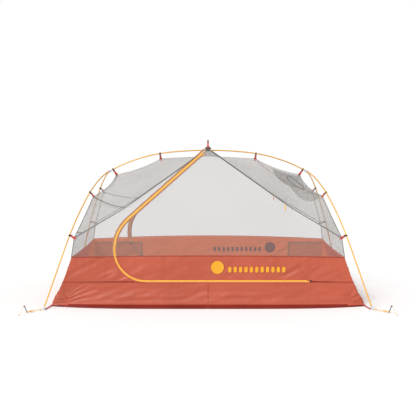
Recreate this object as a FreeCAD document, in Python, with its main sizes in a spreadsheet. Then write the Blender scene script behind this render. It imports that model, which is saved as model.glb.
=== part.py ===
"""Inner tent of a two-person backpacking tent, standing on its hubbed pole set.

Millimetres, +Z up. The origin is the centre of the floor, on the ground. X runs along the long
side, and the front door faces -Y. The tent is the same left and right, and front and rear, apart
from its pockets, so most pieces are made for the front right corner and placed four times.
"""
import FreeCAD, Part
import math
import os
from types import SimpleNamespace
from FreeCAD import Matrix, Placement, Rotation, Vector

SIZES = {
    # floor and tub
    "floor_length": 2150.0,
    "floor_width": 1320.0,
    "band_height": 161.0,
    "tub_height": 330.0,
    "end_lean": 0.409,
    "side_lean": 0.1495,
    "cloth": 1.0,
    "tub_cloth": 1.2,
    "seam_gap": 0.5,
    # poles
    "pole_diameter": 8.7,
    "pole_bore": 7.1,
    "ferrule_diameter": 6.9,
    "ferrule_bore": 5.1,
    "ferrule_half": 30.0,
    "shock_cord": 2.6,
    "ridge_top": 1062.0,
    "ridge_middle_bend": 2833.0,
    "ridge_middle_half": 290.0,
    "ridge_end_bend": 1166.0,
    "ridge_end_length": 464.6,
    "hub_inset": 8.0,
    "leg_section": 428.1,
    "leg_upper_bend": 764.0,
    "leg_middle_bend": 1365.0,
    "leg_bearing": 65.77,
    "leg_twist": 12.35,
    "cross_bend": 2300.0,
    "cross_half": 508.0,
    "pole_stack": 11.0,
    "pin_shank": 24.0,
    "pin_cap": 8.0,
    "pin_length": 20.0,
    "pin_diameter": 6.0,
    # hubs and feet
    "hub_ball": 11.0,
    "hub_collar_diameter": 14.0,
    "hub_collar_length": 18.0,
    "socket_play": 0.3,
    "saddle_side": 26.0,
    "tip_shank": 20.0,
    "tip_flange": 3.0,
    "tip_neck": 5.0,
    "tip_length": 16.0,
    "tip_ball": 5.0,
    "tip_centre_height": 8.0,
    "foot_diameter": 20.0,
    "foot_height": 11.0,
    # clips and webbing
    "clip_diameter": 15.2,
    "clip_width": 11.0,
    "clip_mouth": 6.6,
    "clip_foot_width": 15.0,
    "clip_plate": 3.0,
    "clip_foot_top": 14.0,
    "clip_slot_top": 16.4,
    "clip_bar_top": 18.6,
    "clip_foot_bottom": 22.0,
    "tab_width": 10.0,
    "tab_layer": 1.0,
    "tab_gap": 4.0,
    "strap_width": 15.0,
    "strap_thickness": 1.2,
    "peak_strap_width": 12.0,
    "peak_ring": 6.2,
    "peak_ring_bore": 4.65,
    "patch_reach": 17.0,
    "patch_half_width": 16.0,
    "patch_standoff": 0.3,
    "toggle_radius": 4.0,
    "toggle_length": 24.0,
    "toggle_loop_radius": 1.2,
    "toggle_loop_length": 12.0,
    # doors and zips
    "peak_height": 1075.0,
    "zip_side": 645.0,
    "zip_side_height": 389.0,
    "zip_upper_bend": 283.0,
    "zip_lower_bend": 218.0,
    "zip_slope": 41.8,
    "zip_top": 1076.0,
    "door_top": 1028.0,
    "door_hinge_top": 10.0,
    "door_hinge_foot": 700.0,
    "hinge_gap": 1.5,
    "zip_edge": 8.0,
    "tape_width": 12.0,
    "tape_thickness": 0.8,
    "coil_gap": 0.9,
    "coil_width": 2.0,
    "coil_height": 2.0,
    "tape_lift": 0.2,
    "slider_length": 16.0,
    "slider_width": 11.0,
    "slider_web_half_length": 5.0,
    "slider_web_half_width": 0.3,
    "lug_inside": 3.6,
    "lug_cheek": 1.0,
    "lug_width": 4.0,
    "lug_top": 1.8,
    "lug_root": 0.4,
    "lug_pin_radius": 1.2,
    "pull_length": 26.0,
    "pull_width": 6.0,
    "pull_thickness": 1.6,
    "pull_eye_radius": 2.9,
    "pull_hole_radius": 1.6,
    "stop_length": 9.0,
    "stop_width": 14.0,
    "stop_height": 2.4,
    # pegs and cords
    "peg_diameter": 6.0,
    "peg_length": 60.0,
    "peg_cap_diameter": 12.0,
    "peg_cap_height": 5.0,
    "guy_diameter": 2.5,
    "guy_bend": 6.2,
    "guy_half_gap": 2.5,
    "guy_end_height": 6.0,
    "guy_peg_height": 9.0,
    "pull_cord_diameter": 2.0,
}

# Points where cloth is held, for the front right corner.
RIDGE_SEAM_CENTRE = Vector(0, 0, 1017.5)
RIDGE_CLIP_CLOTH = Vector(354, 0, 998.5)
HUB_CLIP_CLOTH = Vector(686, 0, 880)
UPPER_CLIP_CLOTH = Vector(821, -315, 734)
LOWER_CLIP_HEIGHT = 463.0
LOWER_CLIP_REACH = 922.0
SEAM_KNEE = (571.0, 671.0)

# How far the edges between those points are pulled in, as the middle point of each.
RIDGE_EDGE_MIDDLE = Vector(515, 0, 925)
UPPER_EDGE_MIDDLE = Vector(729, -150, 800)
LOWER_EDGE_MIDDLE = Vector(872, -460, 590)

# Distances along the poles where the clips hook on, from the apex and from the hub.
RIDGE_CLIPS = (361.0, 734.0)
LEG_CLIPS = (368.0, 762.0)

# How far the slider's plates, and the pins that its pulls hang on, stand out of the wall.
SLIDER_PLATES = {"outer": (2.8, 4.0), "inner": (-1.8, -0.6)}
PULL_PINS = {"outer": 7.4, "inner": -5.2}

# How far the parked slider lies below the top of its slot, and the room kept round its pulls.
SLIDER_PARKING = 18
PULL_ROOM = 12

# Cuts through a sheet start this far inside it and are this deep; bores overrun both ends.
CUT_START, CUT_DEPTH = -5, 10
BORE_LENGTH, BORE_START = "30", -15

# How far the ceiling pocket lies under the roof, and the wall pockets inside the tub wall.
POCKET_DROP = 8.0
WALL_POCKET_INSET = -5.0
WALL_POCKET_HEIGHTS = (180.0, 305.0)
WALL_POCKETS = {"left": (-930, -545), "right": (660, 940)}

# Centre of the toggle's top: across the wall, its height, and how far out of the wall.
TOGGLE_PLACE = (534, 676, 5.5)

# Where the front right peg enters the ground, and a point higher up its axis.
PEG_FOOT = Vector(1190, -900, 0)
PEG_UPPER = Vector(1204, -930, 50)

CORNERS = {
    "front_right": (1, 1),
    "front_left": (-1, 1),
    "rear_right": (1, -1),
    "rear_left": (-1, -1),
}
ENDS = ((1, 1), (-1, 1))
SIDES = ((1, 1), (1, -1))

doc = FreeCAD.newDocument("Tent")
sheet = doc.addObject("Spreadsheet::Sheet", "Sizes")
nodes = []


def fill_sheet():
    """Write the driving dimensions to the sheet and read them back as named values."""
    for row, (alias, value) in enumerate(SIZES.items(), start=1):
        sheet.set("A%d" % row, alias)
        sheet.set("B%d" % row, str(value))
        sheet.setAlias("B%d" % row, alias)
    doc.recompute()
    return SimpleNamespace(**{alias: float(sheet.get(alias)) for alias in SIZES})


dim = fill_sheet()

# ---------------------------------------------------------------- document helpers


def primitive(kind, name, placement=None, **sizes):
    """A Part primitive whose sizes are expressions on the sheet."""
    solid = doc.addObject("Part::" + kind, name)
    if placement is not None:
        solid.Placement = placement
    for name_of_size, expression in sizes.items():
        solid.setExpression(name_of_size, expression)
    return solid


def cut(name, base, tool):
    """The base solid without the tool."""
    result = doc.addObject("Part::Cut", name)
    result.Base = base
    result.Tool = tool
    return result


def fuse(name, *solids):
    """Several solids joined into one."""
    result = doc.addObject("Part::MultiFuse", name)
    result.Shapes = list(solids)
    return result


def feature(name, shape):
    """A solid that no primitive gives: cloth, cords and what is set square on the wall."""
    solid = doc.addObject("Part::Feature", name)
    solid.Shape = shape
    return solid


def mirrored(name, source, normal=Vector(0, 1, 0)):
    """The same piece on the other side of the tent."""
    result = doc.addObject("Part::Mirroring", name)
    result.Source = source
    result.Normal = normal
    return result


def placed(name, source, placement):
    """A copy of a piece at a place of its own."""
    copy = doc.addObject("App::Link", name)
    copy.LinkedObject = source
    copy.LinkTransform = True
    copy.Placement = placement
    return copy


def mirrored_copies(source, spot, corners):
    """A piece made at the origin for the front right corner, mirrored and moved to others."""
    copies = []
    for corner in corners:
        piece = source
        for side, normal in zip(corner, (Vector(1, 0, 0), Vector(0, 1, 0))):
            if side < 0:
                piece = mirrored(piece.Name + "_mirror", piece, normal)
        copies.append(placed(source.Name + "_copy", piece, Placement(flip(spot, corner),
                                                                     Rotation())))
    return copies


def node(label, *solids):
    """A sub-part: one named group of separate solids, written to its own file."""
    group = doc.addObject("Part::Compound", label)
    group.Label = label
    group.Links = list(solids)
    nodes.append(group)
    return group


def mirrored_node(label, source):
    """A sub-part on the rear wall, which mirrors one on the front wall."""
    nodes.append(mirrored(label, source))
    nodes[-1].Label = label


# ---------------------------------------------------------------- frames and paths


def flip(vector, corner):
    """A vector of the front right corner, taken to another corner."""
    return Vector(vector.x * corner[0], vector.y * corner[1], vector.z)


def flip_frame(frame, corner):
    """A frame of the front right corner, taken to another corner."""
    return tuple(flip(vector, corner) for vector in frame)


def axes_placement(origin, x_axis, y_axis, z_axis):
    """Placement with its origin and its three axes given."""
    return Placement(Matrix(
        x_axis.x, y_axis.x, z_axis.x, origin.x,
        x_axis.y, y_axis.y, z_axis.y, origin.y,
        x_axis.z, y_axis.z, z_axis.z, origin.z,
        0, 0, 0, 1))


def path_placement(frame):
    """Placement that lays a rod, drawn from the origin along +Y and bent to -X, on a frame."""
    point, along, inward = frame
    outward = inward * -1
    return axes_placement(point, outward, along, outward.cross(along))


def advance(frame, length, bend=None):
    """The frame (point, direction, side it bends to) further along a straight or bent run."""
    point, along, inward = frame
    if bend is None:
        return point + along * length, along, inward
    turn = length / bend
    sine, cosine = math.sin(turn), math.cos(turn)
    point = point + along * (bend * sine) + inward * (bend * (1 - cosine))
    return point, along * cosine + inward * sine, inward * cosine - along * sine


def run_edge(frame, length, bend=None):
    """The straight edge or arc that a run follows."""
    end = advance(frame, length, bend)[0]
    if bend is None:
        return Part.LineSegment(frame[0], end).toShape()
    return Part.Arc(frame[0], advance(frame, length / 2, bend)[0], end).toShape()


def pipe(edges, diameter):
    """A round solid along joined edges."""
    spine = Part.Wire(edges)
    start = edges[0].valueAt(edges[0].FirstParameter)
    along = edges[0].tangentAt(edges[0].FirstParameter)
    section = Part.Wire([Part.makeCircle(diameter / 2, start, along)])
    return spine.makePipeShell([section], True, True)


# ---------------------------------------------------------------- poles


def rod(name, bend, length, diameter):
    """A solid rod from the origin along +Y, bent towards -X, or straight where bend is None."""
    radius = "%s / 2" % diameter
    if bend is None:
        along_y = Placement(Vector(), Rotation(Vector(1, 0, 0), -90))
        return primitive("Cylinder", name, along_y, Radius=radius, Height=length)
    ring = primitive("Torus", name, Radius1=bend, Radius2=radius,
                     Angle3="(%s) / (%s) * 180 / pi" % (length, bend))
    ring.setExpression("Placement.Base.x", "-(%s)" % bend)
    return ring


def tube(name, bend, length, diameter="Sizes.pole_diameter", bore="Sizes.pole_bore"):
    """A rod with a bore along it."""
    return cut(name, rod(name + "_outside", bend, length, diameter),
               rod(name + "_bore", bend, length, bore))


def pole_frames():
    """Where each pole section starts, and the hub, on the front right corner."""
    apex = (Vector(0, 0, dim.ridge_top), Vector(1, 0, 0), Vector(0, 0, -1))
    ridge_end = advance(apex, dim.ridge_middle_half, dim.ridge_middle_bend)
    ridge_tip = advance(ridge_end, dim.ridge_end_length, dim.ridge_end_bend)
    hub = advance(ridge_tip, dim.hub_inset)
    leg = leg_frame(hub[0])
    upper = advance(leg, dim.hub_inset)
    middle = advance(upper, dim.leg_section, dim.leg_upper_bend)
    lower = advance(middle, dim.leg_section, dim.leg_middle_bend)
    tip = advance(lower, dim.leg_section)
    cross = (Vector(0, 0, dim.ridge_top + dim.pole_stack), Vector(0, -1, 0), Vector(0, 0, 1))
    return SimpleNamespace(apex=apex, ridge_end=ridge_end, ridge_tip=ridge_tip, hub=hub, leg=leg,
                           upper=upper, middle=middle, lower=lower, tip=tip, cross=cross,
                           cross_tip=advance(cross, dim.cross_half, dim.cross_bend))


def leg_frame(hub_point):
    """The leg leaves the hub so that its lengths and bends bring its ball to the ground."""
    flat = (Vector(), Vector(1, 0, 0), Vector(0, -1, 0))
    flat = advance(flat, dim.hub_inset)
    flat = advance(flat, dim.leg_section, dim.leg_upper_bend)
    flat = advance(flat, dim.leg_section, dim.leg_middle_bend)
    reach = advance(flat, dim.leg_section + dim.tip_length)[0]
    chord = reach.Length
    drop = hub_point.z - dim.tip_centre_height
    spread = math.sqrt(chord ** 2 - drop ** 2)
    bearing = math.radians(dim.leg_bearing)
    to_foot = Vector(spread * math.cos(bearing), -spread * math.sin(bearing), -drop).normalize()
    upright = (Vector(0, 0, 1) - to_foot * to_foot.z).normalize()
    twist = math.radians(dim.leg_twist)
    bulge = upright * math.cos(twist) + to_foot.cross(upright) * math.sin(twist)
    rise = -math.atan2(reach.y, reach.x)
    along = to_foot * math.cos(rise) + bulge * math.sin(rise)
    inward = to_foot * math.sin(rise) - bulge * math.cos(rise)
    return hub_point, along, inward


def point_on_leg(distance):
    """Frame on the leg, a distance from the hub; the clips sit on its two upper sections."""
    past_upper = distance - dim.hub_inset - dim.leg_section
    if past_upper < 0:
        return advance(pole.upper, distance - dim.hub_inset, dim.leg_upper_bend)
    return advance(pole.middle, past_upper, dim.leg_middle_bend)


def point_on_ridge(distance):
    """Frame on the ridge, a distance from its apex."""
    if distance < dim.ridge_middle_half:
        return advance(pole.apex, distance, dim.ridge_middle_bend)
    return advance(pole.ridge_end, distance - dim.ridge_middle_half, dim.ridge_end_bend)


def placed_at(label, source, frame, corners):
    """One copy of a rod for each corner given, as a sub-part."""
    copies = [placed("%s_%d" % (label, number), source, path_placement(flip_frame(frame, corner)))
              for number, corner in enumerate(corners)]
    node(label, *copies)


def pole_sections():
    """Aluminium tubes of the ridge, the four legs and the cross pole."""
    middle_start = advance(pole.apex, -dim.ridge_middle_half, dim.ridge_middle_bend)
    placed_at("ridge_middle_section",
              tube("ridge_middle_tube", "Sizes.ridge_middle_bend", "Sizes.ridge_middle_half * 2"),
              middle_start, ENDS[:1])
    placed_at("ridge_end_sections",
              tube("ridge_end_tube", "Sizes.ridge_end_bend", "Sizes.ridge_end_length"),
              pole.ridge_end, ENDS)
    placed_at("leg_upper_sections",
              tube("leg_upper_tube", "Sizes.leg_upper_bend", "Sizes.leg_section"),
              pole.upper, CORNERS.values())
    placed_at("leg_middle_sections",
              tube("leg_middle_tube", "Sizes.leg_middle_bend", "Sizes.leg_section"),
              pole.middle, CORNERS.values())
    placed_at("leg_lower_sections", tube("leg_lower_tube", None, "Sizes.leg_section"),
              pole.lower, CORNERS.values())
    placed_at("cross_pole_halves",
              tube("cross_tube", "Sizes.cross_bend", "Sizes.cross_half"), pole.cross, SIDES)


def ferrule(name, bend_before, bend_after):
    """Short inner tube that joins two sections, bent as they are on each side of the joint."""
    halves = []
    for side, bend, along in (("after", bend_after, 1), ("before", bend_before, -1)):
        half = tube("%s_%s" % (name, side), bend, "Sizes.ferrule_half",
                    "Sizes.ferrule_diameter", "Sizes.ferrule_bore")
        turned = path_placement((Vector(), Vector(0, along, 0), Vector(-1, 0, 0)))
        halves.append(placed("%s_%s_placed" % (name, side), half, turned))
    return fuse(name, *halves)


def ferrules():
    """One ferrule in every joint between two sections."""
    joints = (
        ("ridge_ferrule", "Sizes.ridge_middle_bend", "Sizes.ridge_end_bend", pole.ridge_end, ENDS),
        ("knee_ferrule", "Sizes.leg_upper_bend", "Sizes.leg_middle_bend", pole.middle,
         CORNERS.values()),
        ("shin_ferrule", "Sizes.leg_middle_bend", None, pole.lower, CORNERS.values()),
        ("cross_ferrule", "Sizes.cross_bend", "Sizes.cross_bend", pole.cross, ENDS[:1]),
    )
    copies = []
    for name, before, after, frame, corners in joints:
        source = ferrule(name, before, after)
        for number, corner in enumerate(corners):
            copies.append(placed("%s_%d" % (name, number), source,
                                 path_placement(flip_frame(frame, corner))))
    node("pole_ferrules", *copies)


def shock_cords():
    """Elastic cord that runs inside each pole, from end to end."""
    ridge_start = advance(pole.apex, -dim.ridge_middle_half, dim.ridge_middle_bend)
    runs = (
        ("ridge_cord_middle", "Sizes.ridge_middle_bend", "Sizes.ridge_middle_half * 2",
         ridge_start, ENDS[:1]),
        ("ridge_cord_end", "Sizes.ridge_end_bend", "Sizes.ridge_end_length", pole.ridge_end, ENDS),
        ("leg_cord_upper", "Sizes.leg_upper_bend", "Sizes.leg_section", pole.upper,
         CORNERS.values()),
        ("leg_cord_middle", "Sizes.leg_middle_bend", "Sizes.leg_section", pole.middle,
         CORNERS.values()),
        ("leg_cord_lower", None, "Sizes.leg_section - Sizes.pin_shank", pole.lower,
         CORNERS.values()),
        ("cross_cord", "Sizes.cross_bend", "Sizes.cross_half - Sizes.pin_shank", pole.cross,
         SIDES),
    )
    copies = []
    for name, bend, length, frame, corners in runs:
        source = rod(name, bend, length, "Sizes.shock_cord")
        for number, corner in enumerate(corners):
            copies.append(placed("%s_%d" % (name, number), source,
                                 path_placement(flip_frame(frame, corner))))
    node("shock_cords", fuse("shock_cords_joined", *copies))


# ---------------------------------------------------------------- hubs, saddle, tips and feet


def collar(name, along, length, diameter, start=0.0):
    """A cylinder from the origin, or from a start, in the direction along."""
    turned = Placement(along * start, Rotation(Vector(0, 0, 1), along))
    return primitive("Cylinder", name, turned, Radius="(%s) / 2" % diameter, Height=length)


def ridge_hubs():
    """Moulded hub at each end of the ridge, with a socket for the ridge and for two legs."""
    directions = {
        "ridge": pole.hub[1] * -1,
        "front": pole.leg[1],
        "rear": flip(pole.leg[1], (1, -1)),
    }
    block = [primitive("Sphere", "hub_ball", Radius="Sizes.hub_ball")]
    bores = []
    for name, along in directions.items():
        block.append(collar("hub_collar_" + name, along, "Sizes.hub_collar_length",
                            "Sizes.hub_collar_diameter"))
        bores.append(collar("hub_bore_" + name, along, "Sizes.hub_collar_length",
                            "Sizes.pole_diameter + 2 * Sizes.socket_play",
                            dim.hub_inset - dim.socket_play))
    hub = cut("hub", fuse("hub_block", *block), fuse("hub_bores", *bores))
    node("ridge_hubs", *mirrored_copies(hub, pole.hub[0], ENDS))


def cross_saddle():
    """Swivel block that clips the cross pole on top of the ridge pole."""
    wall = 6
    corner = Vector(-dim.saddle_side / 2, -dim.saddle_side / 2, dim.ridge_top - wall)
    block = primitive("Box", "saddle_block", Placement(corner, Rotation()),
                      Length="Sizes.saddle_side", Width="Sizes.saddle_side",
                      Height="Sizes.pole_stack + %s" % (2 * wall))
    bore = "Sizes.pole_diameter + 2 * Sizes.socket_play"
    ridge_bore = collar("saddle_ridge_bore", Vector(1, 0, 0), BORE_LENGTH, bore, BORE_START)
    ridge_bore.Placement.Base.z = dim.ridge_top
    cross_bore = collar("saddle_cross_bore", Vector(0, 1, 0), BORE_LENGTH, bore, BORE_START)
    cross_bore.Placement.Base.z = dim.ridge_top + dim.pole_stack
    node("cross_saddle", cut("saddle", block, fuse("saddle_bores", ridge_bore, cross_bore)))


def cross_pole_tips():
    """End plugs of the cross pole, each with the pin that a fly's grommet sits on."""
    plug = fuse("cross_tip",
                collar("cross_tip_shank", Vector(0, 1, 0), "Sizes.pin_shank",
                       "Sizes.pole_bore - 0.2", -dim.pin_shank),
                collar("cross_tip_cap", Vector(0, 1, 0), "Sizes.pin_cap",
                       "Sizes.pole_diameter + 1"),
                collar("cross_tip_pin", Vector(0, 1, 0), "Sizes.pin_length",
                       "Sizes.pin_diameter"))
    placed_at("cross_pole_tips", plug, pole.cross_tip, SIDES)


def foot_tips():
    """Ball-ended plugs in the lower end of each leg."""
    tip = fuse("foot_tip",
               collar("foot_tip_shank", Vector(0, 1, 0), "Sizes.tip_shank",
                      "Sizes.pole_bore - 0.2", -dim.tip_shank),
               collar("foot_tip_flange", Vector(0, 1, 0), "Sizes.tip_flange",
                      "Sizes.pole_diameter"),
               collar("foot_tip_neck", Vector(0, 1, 0), "Sizes.tip_length", "Sizes.tip_neck"),
               primitive("Sphere", "foot_tip_ball",
                         Placement(Vector(0, dim.tip_length, 0), Rotation()),
                         Radius="Sizes.tip_ball"))
    placed_at("foot_tips", tip, pole.tip, CORNERS.values())


def foot_sockets():
    """Moulded feet on the ground that each ball snaps into."""
    centre = advance(pole.tip, dim.tip_length)[0]
    cup = primitive("Cylinder", "foot_cup", Radius="Sizes.foot_diameter / 2",
                    Height="Sizes.foot_height")
    hollow = primitive("Sphere", "foot_hollow",
                       Placement(Vector(0, 0, dim.tip_centre_height), Rotation()),
                       Radius="Sizes.tip_ball + Sizes.socket_play")
    mouth = collar("foot_mouth", pole.tip[1] * -1, "20", "2 * Sizes.tip_ball - 0.6")
    mouth.Placement.Base = Vector(0, 0, dim.tip_centre_height)
    foot = cut("foot", cup, fuse("foot_space", hollow, mouth))
    spot = Vector(centre.x, centre.y, 0)
    node("foot_sockets", *mirrored_copies(foot, spot, CORNERS.values()))


# ---------------------------------------------------------------- clips and webbing


def centred_box(name, width, depth, top, bottom):
    """A box centred on the Z axis, hanging from -top to -bottom."""
    box = primitive("Box", name, Length=width, Width=depth, Height="(%s) - (%s)" % (bottom, top))
    box.setExpression("Placement.Base.x", "-(%s) / 2" % width)
    box.setExpression("Placement.Base.y", "-(%s) / 2" % depth)
    box.setExpression("Placement.Base.z", "-(%s)" % bottom)
    return box


def hook_clip():
    """Hook over a pole that runs along X, with a slotted foot below it for webbing."""
    ring = collar("clip_ring", Vector(1, 0, 0), "Sizes.clip_width", "Sizes.clip_diameter")
    ring.setExpression("Placement.Base.x", "-Sizes.clip_width / 2")
    stem = centred_box("clip_stem", "Sizes.clip_width", "Sizes.clip_plate", "6",
                       "Sizes.clip_foot_bottom")
    foot = centred_box("clip_foot", "Sizes.clip_foot_width", "Sizes.clip_plate",
                       "Sizes.clip_foot_top", "Sizes.clip_foot_bottom")
    bore = collar("clip_bore", Vector(1, 0, 0), BORE_LENGTH,
                  "Sizes.pole_diameter + 2 * Sizes.socket_play", BORE_START)
    mouth_corner = Vector(BORE_START, -12, -2)
    mouth = primitive("Box", "clip_mouth_cut", Placement(mouth_corner, Rotation()),
                      Length=BORE_LENGTH, Width="12", Height="Sizes.clip_mouth")
    slot = centred_box("clip_slot", "Sizes.tab_width + 1", "12", "Sizes.clip_slot_top",
                       "Sizes.clip_bar_top")
    return cut("hook_clip", fuse("clip_block", ring, stem, foot),
               fuse("clip_cuts", bore, mouth, slot))


def webbing_tab(name, reach):
    """Webbing folded round a clip's bar and sewn to the cloth, a reach below the pole."""
    depth = "Sizes.clip_plate + 2 * Sizes.tab_layer + 0.6"
    outside = centred_box(name + "_outside", "Sizes.tab_width", depth,
                          "Sizes.clip_slot_top + 0.6", str(reach))
    inside = centred_box(name + "_inside", "Sizes.tab_width + 2", "Sizes.clip_plate + 0.6",
                         "Sizes.clip_bar_top - 0.3", "Sizes.clip_foot_bottom + 0.6")
    return cut(name, outside, inside)


def hanging_placement(frame, cloth):
    """Placement of a clip square on a pole, with its foot towards a point of the cloth."""
    point, along, _ = frame
    up = point - cloth
    up = (up - along * up.dot(along)).normalize()
    return axes_placement(point, along, up.cross(along), up)


def clips_and_tabs():
    """Clips along the ridge and the legs, with the webbing that ties each to the cloth."""
    clip = hook_clip()
    ridge = [(point_on_ridge(distance), cloth, ENDS) for distance, cloth
             in zip(RIDGE_CLIPS, (RIDGE_CLIP_CLOTH, HUB_CLIP_CLOTH))]
    legs = [(point_on_leg(distance), cloth, CORNERS.values()) for distance, cloth
            in zip(LEG_CLIPS, (UPPER_CLIP_CLOTH, LOWER_CLIP_CLOTH))]
    for group, places in (("ridge", ridge), ("leg", legs)):
        clips, tabs = [], []
        for number, (frame, cloth, corners) in enumerate(places):
            hang = hanging_placement(frame, cloth).inverse().multVec(cloth)
            print("%s clip %d: cloth %.1f mm along the pole from it and %.1f mm below"
                  % (group, number, hang.x, -hang.z))
            tab = webbing_tab("%s_tab_%d" % (group, number), round(-hang.z - dim.tab_gap, 2))
            for corner in corners:
                spot = hanging_placement(flip_frame(frame, corner), flip(cloth, corner))
                name = "%s_%d_%d" % (group, number, len(clips))
                clips.append(placed(name + "_clip", clip, spot))
                tabs.append(placed(name + "_tab", tab, spot))
        node(group + "_clips", *clips)
        node(group + "_tabs", *tabs)


# ---------------------------------------------------------------- flat walls


class Wall:
    """A flat leaning wall: places are (across, height on the slope, distance out of it)."""

    def __init__(self, origin, across, lean):
        self.origin = origin
        self.across = across
        outward = Vector(origin.x, origin.y, 0).normalize()
        self.up = (Vector(0, 0, 1) - outward * lean).normalize()
        self.out = (outward + Vector(0, 0, 1) * lean).normalize()
        self.stretch = math.sqrt(1 + lean ** 2)

    def at(self, across, up, out=0.0):
        return self.origin + self.across * across + self.up * up + self.out * out

    def at_height(self, across, height):
        return self.at(across, height * self.stretch)

    def plate(self, wires, out, thickness):
        """A sheet whose outline is given on the wall and whose inner face is out from it."""
        face = Part.Face(wires)
        face.translate(self.out * out)
        return face.extrude(self.out * thickness)

    def outline(self, places):
        """Closed outline through places on the wall, given by their height above ground."""
        points = [self.at_height(across, height) for across, height in places]
        return Part.makePolygon(points + points[:1])


def tub_edge(height):
    """Half length of the tub's wall at a height."""
    return dim.floor_length / 2 - dim.end_lean * height


def zip_run(offset, garage=False, bottom_end=None):
    """Edges of a line beside the front zip, from the top, round and along the bottom.

    A positive offset lies outside the door. The line starts at the door's top, or above it, where
    the slider is parked, and ends at the door's lower corner or at bottom_end across the wall.
    """
    side = (front.at(-dim.zip_side, dim.zip_side_height) - front.across * offset,
            front.up * -1, front.across)
    turn = math.radians(90 - dim.zip_slope)
    upper_bend = dim.zip_upper_bend + offset
    lower_bend = dim.zip_lower_bend + offset
    upper_start = advance(side, -turn * upper_bend, upper_bend)
    top = dim.zip_top if garage else dim.door_top
    arc_top = dim.zip_side_height + dim.zip_upper_bend * math.sin(turn)
    straight = (top - arc_top) / math.sin(math.radians(dim.zip_slope))
    start = advance(upper_start, -straight)
    lower_end = advance(side, lower_bend * math.pi / 2, lower_bend)
    end = dim.door_hinge_foot if bottom_end is None else bottom_end
    length = end - (lower_end[0] - front.origin).dot(front.across)
    return [
        run_edge(start, straight),
        run_edge(upper_start, turn * upper_bend, upper_bend),
        run_edge(side, lower_bend * math.pi / 2, lower_bend),
        run_edge(lower_end, length),
    ]


def zip_frame(distance):
    """Frame on the straight part of the zip, a distance below the top of the slider's garage."""
    first = zip_run(0, garage=True)[0]
    start = first.valueAt(first.FirstParameter)
    along = first.tangentAt(first.FirstParameter)
    return start + along * distance, along, front.out.cross(along)


def edge_ends(edges):
    first, last = edges[0], edges[-1]
    return first.valueAt(first.FirstParameter), last.valueAt(last.LastParameter)


def door_outline(offset, hinge_shift):
    """Closed outline of the door: the zip side, then back up the fold that it swings on."""
    low, high = hinge_across(hinge_shift)
    bottom = dim.zip_side_height - dim.zip_lower_bend - offset
    fold = high - low
    foot = low + fold * ((bottom - (low - front.origin).dot(front.up)) / fold.dot(front.up))
    edges = zip_run(offset, bottom_end=(foot - front.origin).dot(front.across))
    start, end = edge_ends(edges)
    edges.append(Part.LineSegment(end, high).toShape())
    edges.append(Part.LineSegment(high, start).toShape())
    return Part.Wire(edges)


def hinge_points():
    """Lower and upper end of the fold, on the wall."""
    bottom = dim.zip_side_height - dim.zip_lower_bend
    return front.at(dim.door_hinge_foot, bottom), front.at(dim.door_hinge_top, dim.door_top)


def hinge_across(shift):
    """The fold moved sideways on the wall by a shift, towards the fixed cloth."""
    low, high = hinge_points()
    along = (high - low).normalize()
    sideways = along.cross(front.out) * shift
    return low + sideways, high + sideways


def band(inner, outer, out, thickness, **run):
    """A strip beside the zip, between two offsets, standing out from the wall."""
    near, far = zip_run(inner, **run), zip_run(outer, **run)
    near_start, near_end = edge_ends(near)
    far_start, far_end = edge_ends(far)
    closing = [Part.LineSegment(near_end, far_end).toShape(),
               Part.LineSegment(far_start, near_start).toShape()]
    return front.plate(Part.Wire(near + closing[:1] + far[::-1] + closing[1:]), out, thickness)


def front_openings():
    """What is cut out of the front wall: the doorway and the slot above it for the slider."""
    doorway = front.plate(door_outline(dim.zip_edge, dim.hinge_gap), CUT_START, CUT_DEPTH)
    top, along, inward = zip_frame(-2)
    length = (dim.zip_top - dim.door_top) / math.sin(math.radians(dim.zip_slope)) + 12
    corners = [top + inward * dim.zip_edge, top - inward * dim.zip_edge]
    corners += [corner + along * length for corner in reversed(corners)]
    slot = front.plate(Part.makePolygon(corners + corners[:1]), CUT_START, CUT_DEPTH)
    return doorway.fuse(slot)


def front_cloth():
    """The flat front: tub wall and netting beside the door, and the door's sill and netting."""
    gap = dim.seam_gap
    band_low, band_high = dim.band_height + gap, dim.tub_height
    tub_places = [(-tub_edge(band_low), band_low), (tub_edge(band_low), band_low),
                  (tub_edge(band_high), band_high - gap), (-tub_edge(band_high), band_high - gap)]
    net_right = [(tub_edge(band_high), band_high + gap), (LOWER_CLIP_REACH, LOWER_CLIP_HEIGHT),
                 SEAM_KNEE]
    net_places = net_right + [(0, dim.peak_height)]
    net_places += [(-across, height) for across, height in reversed(net_right)]
    tub_wall = front.plate(front.outline(tub_places), -dim.cloth, dim.cloth)
    net_wall = front.plate(front.outline(net_places), -dim.cloth, dim.cloth)
    openings = front_openings()
    door = front.plate(door_outline(-dim.zip_edge, -dim.hinge_gap), -dim.cloth, dim.cloth)
    pieces = {
        "tub_front_wall": tub_wall.cut(openings),
        "front_mesh_wall": net_wall.cut(openings),
        "front_door_sill": door.common(tub_wall),
        "front_door_mesh": door.common(net_wall),
    }
    for label, shape in pieces.items():
        node(label, *[feature("%s_%d" % (label, number), solid)
                      for number, solid in enumerate(shape.Solids)])
    for label, rear_label in (("tub_front_wall", "tub_rear_wall"),
                              ("front_mesh_wall", "rear_mesh_wall"),
                              ("front_door_sill", "rear_door_sill"),
                              ("front_door_mesh", "rear_door_mesh")):
        mirrored_node(rear_label, doc.getObject(label))


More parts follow.
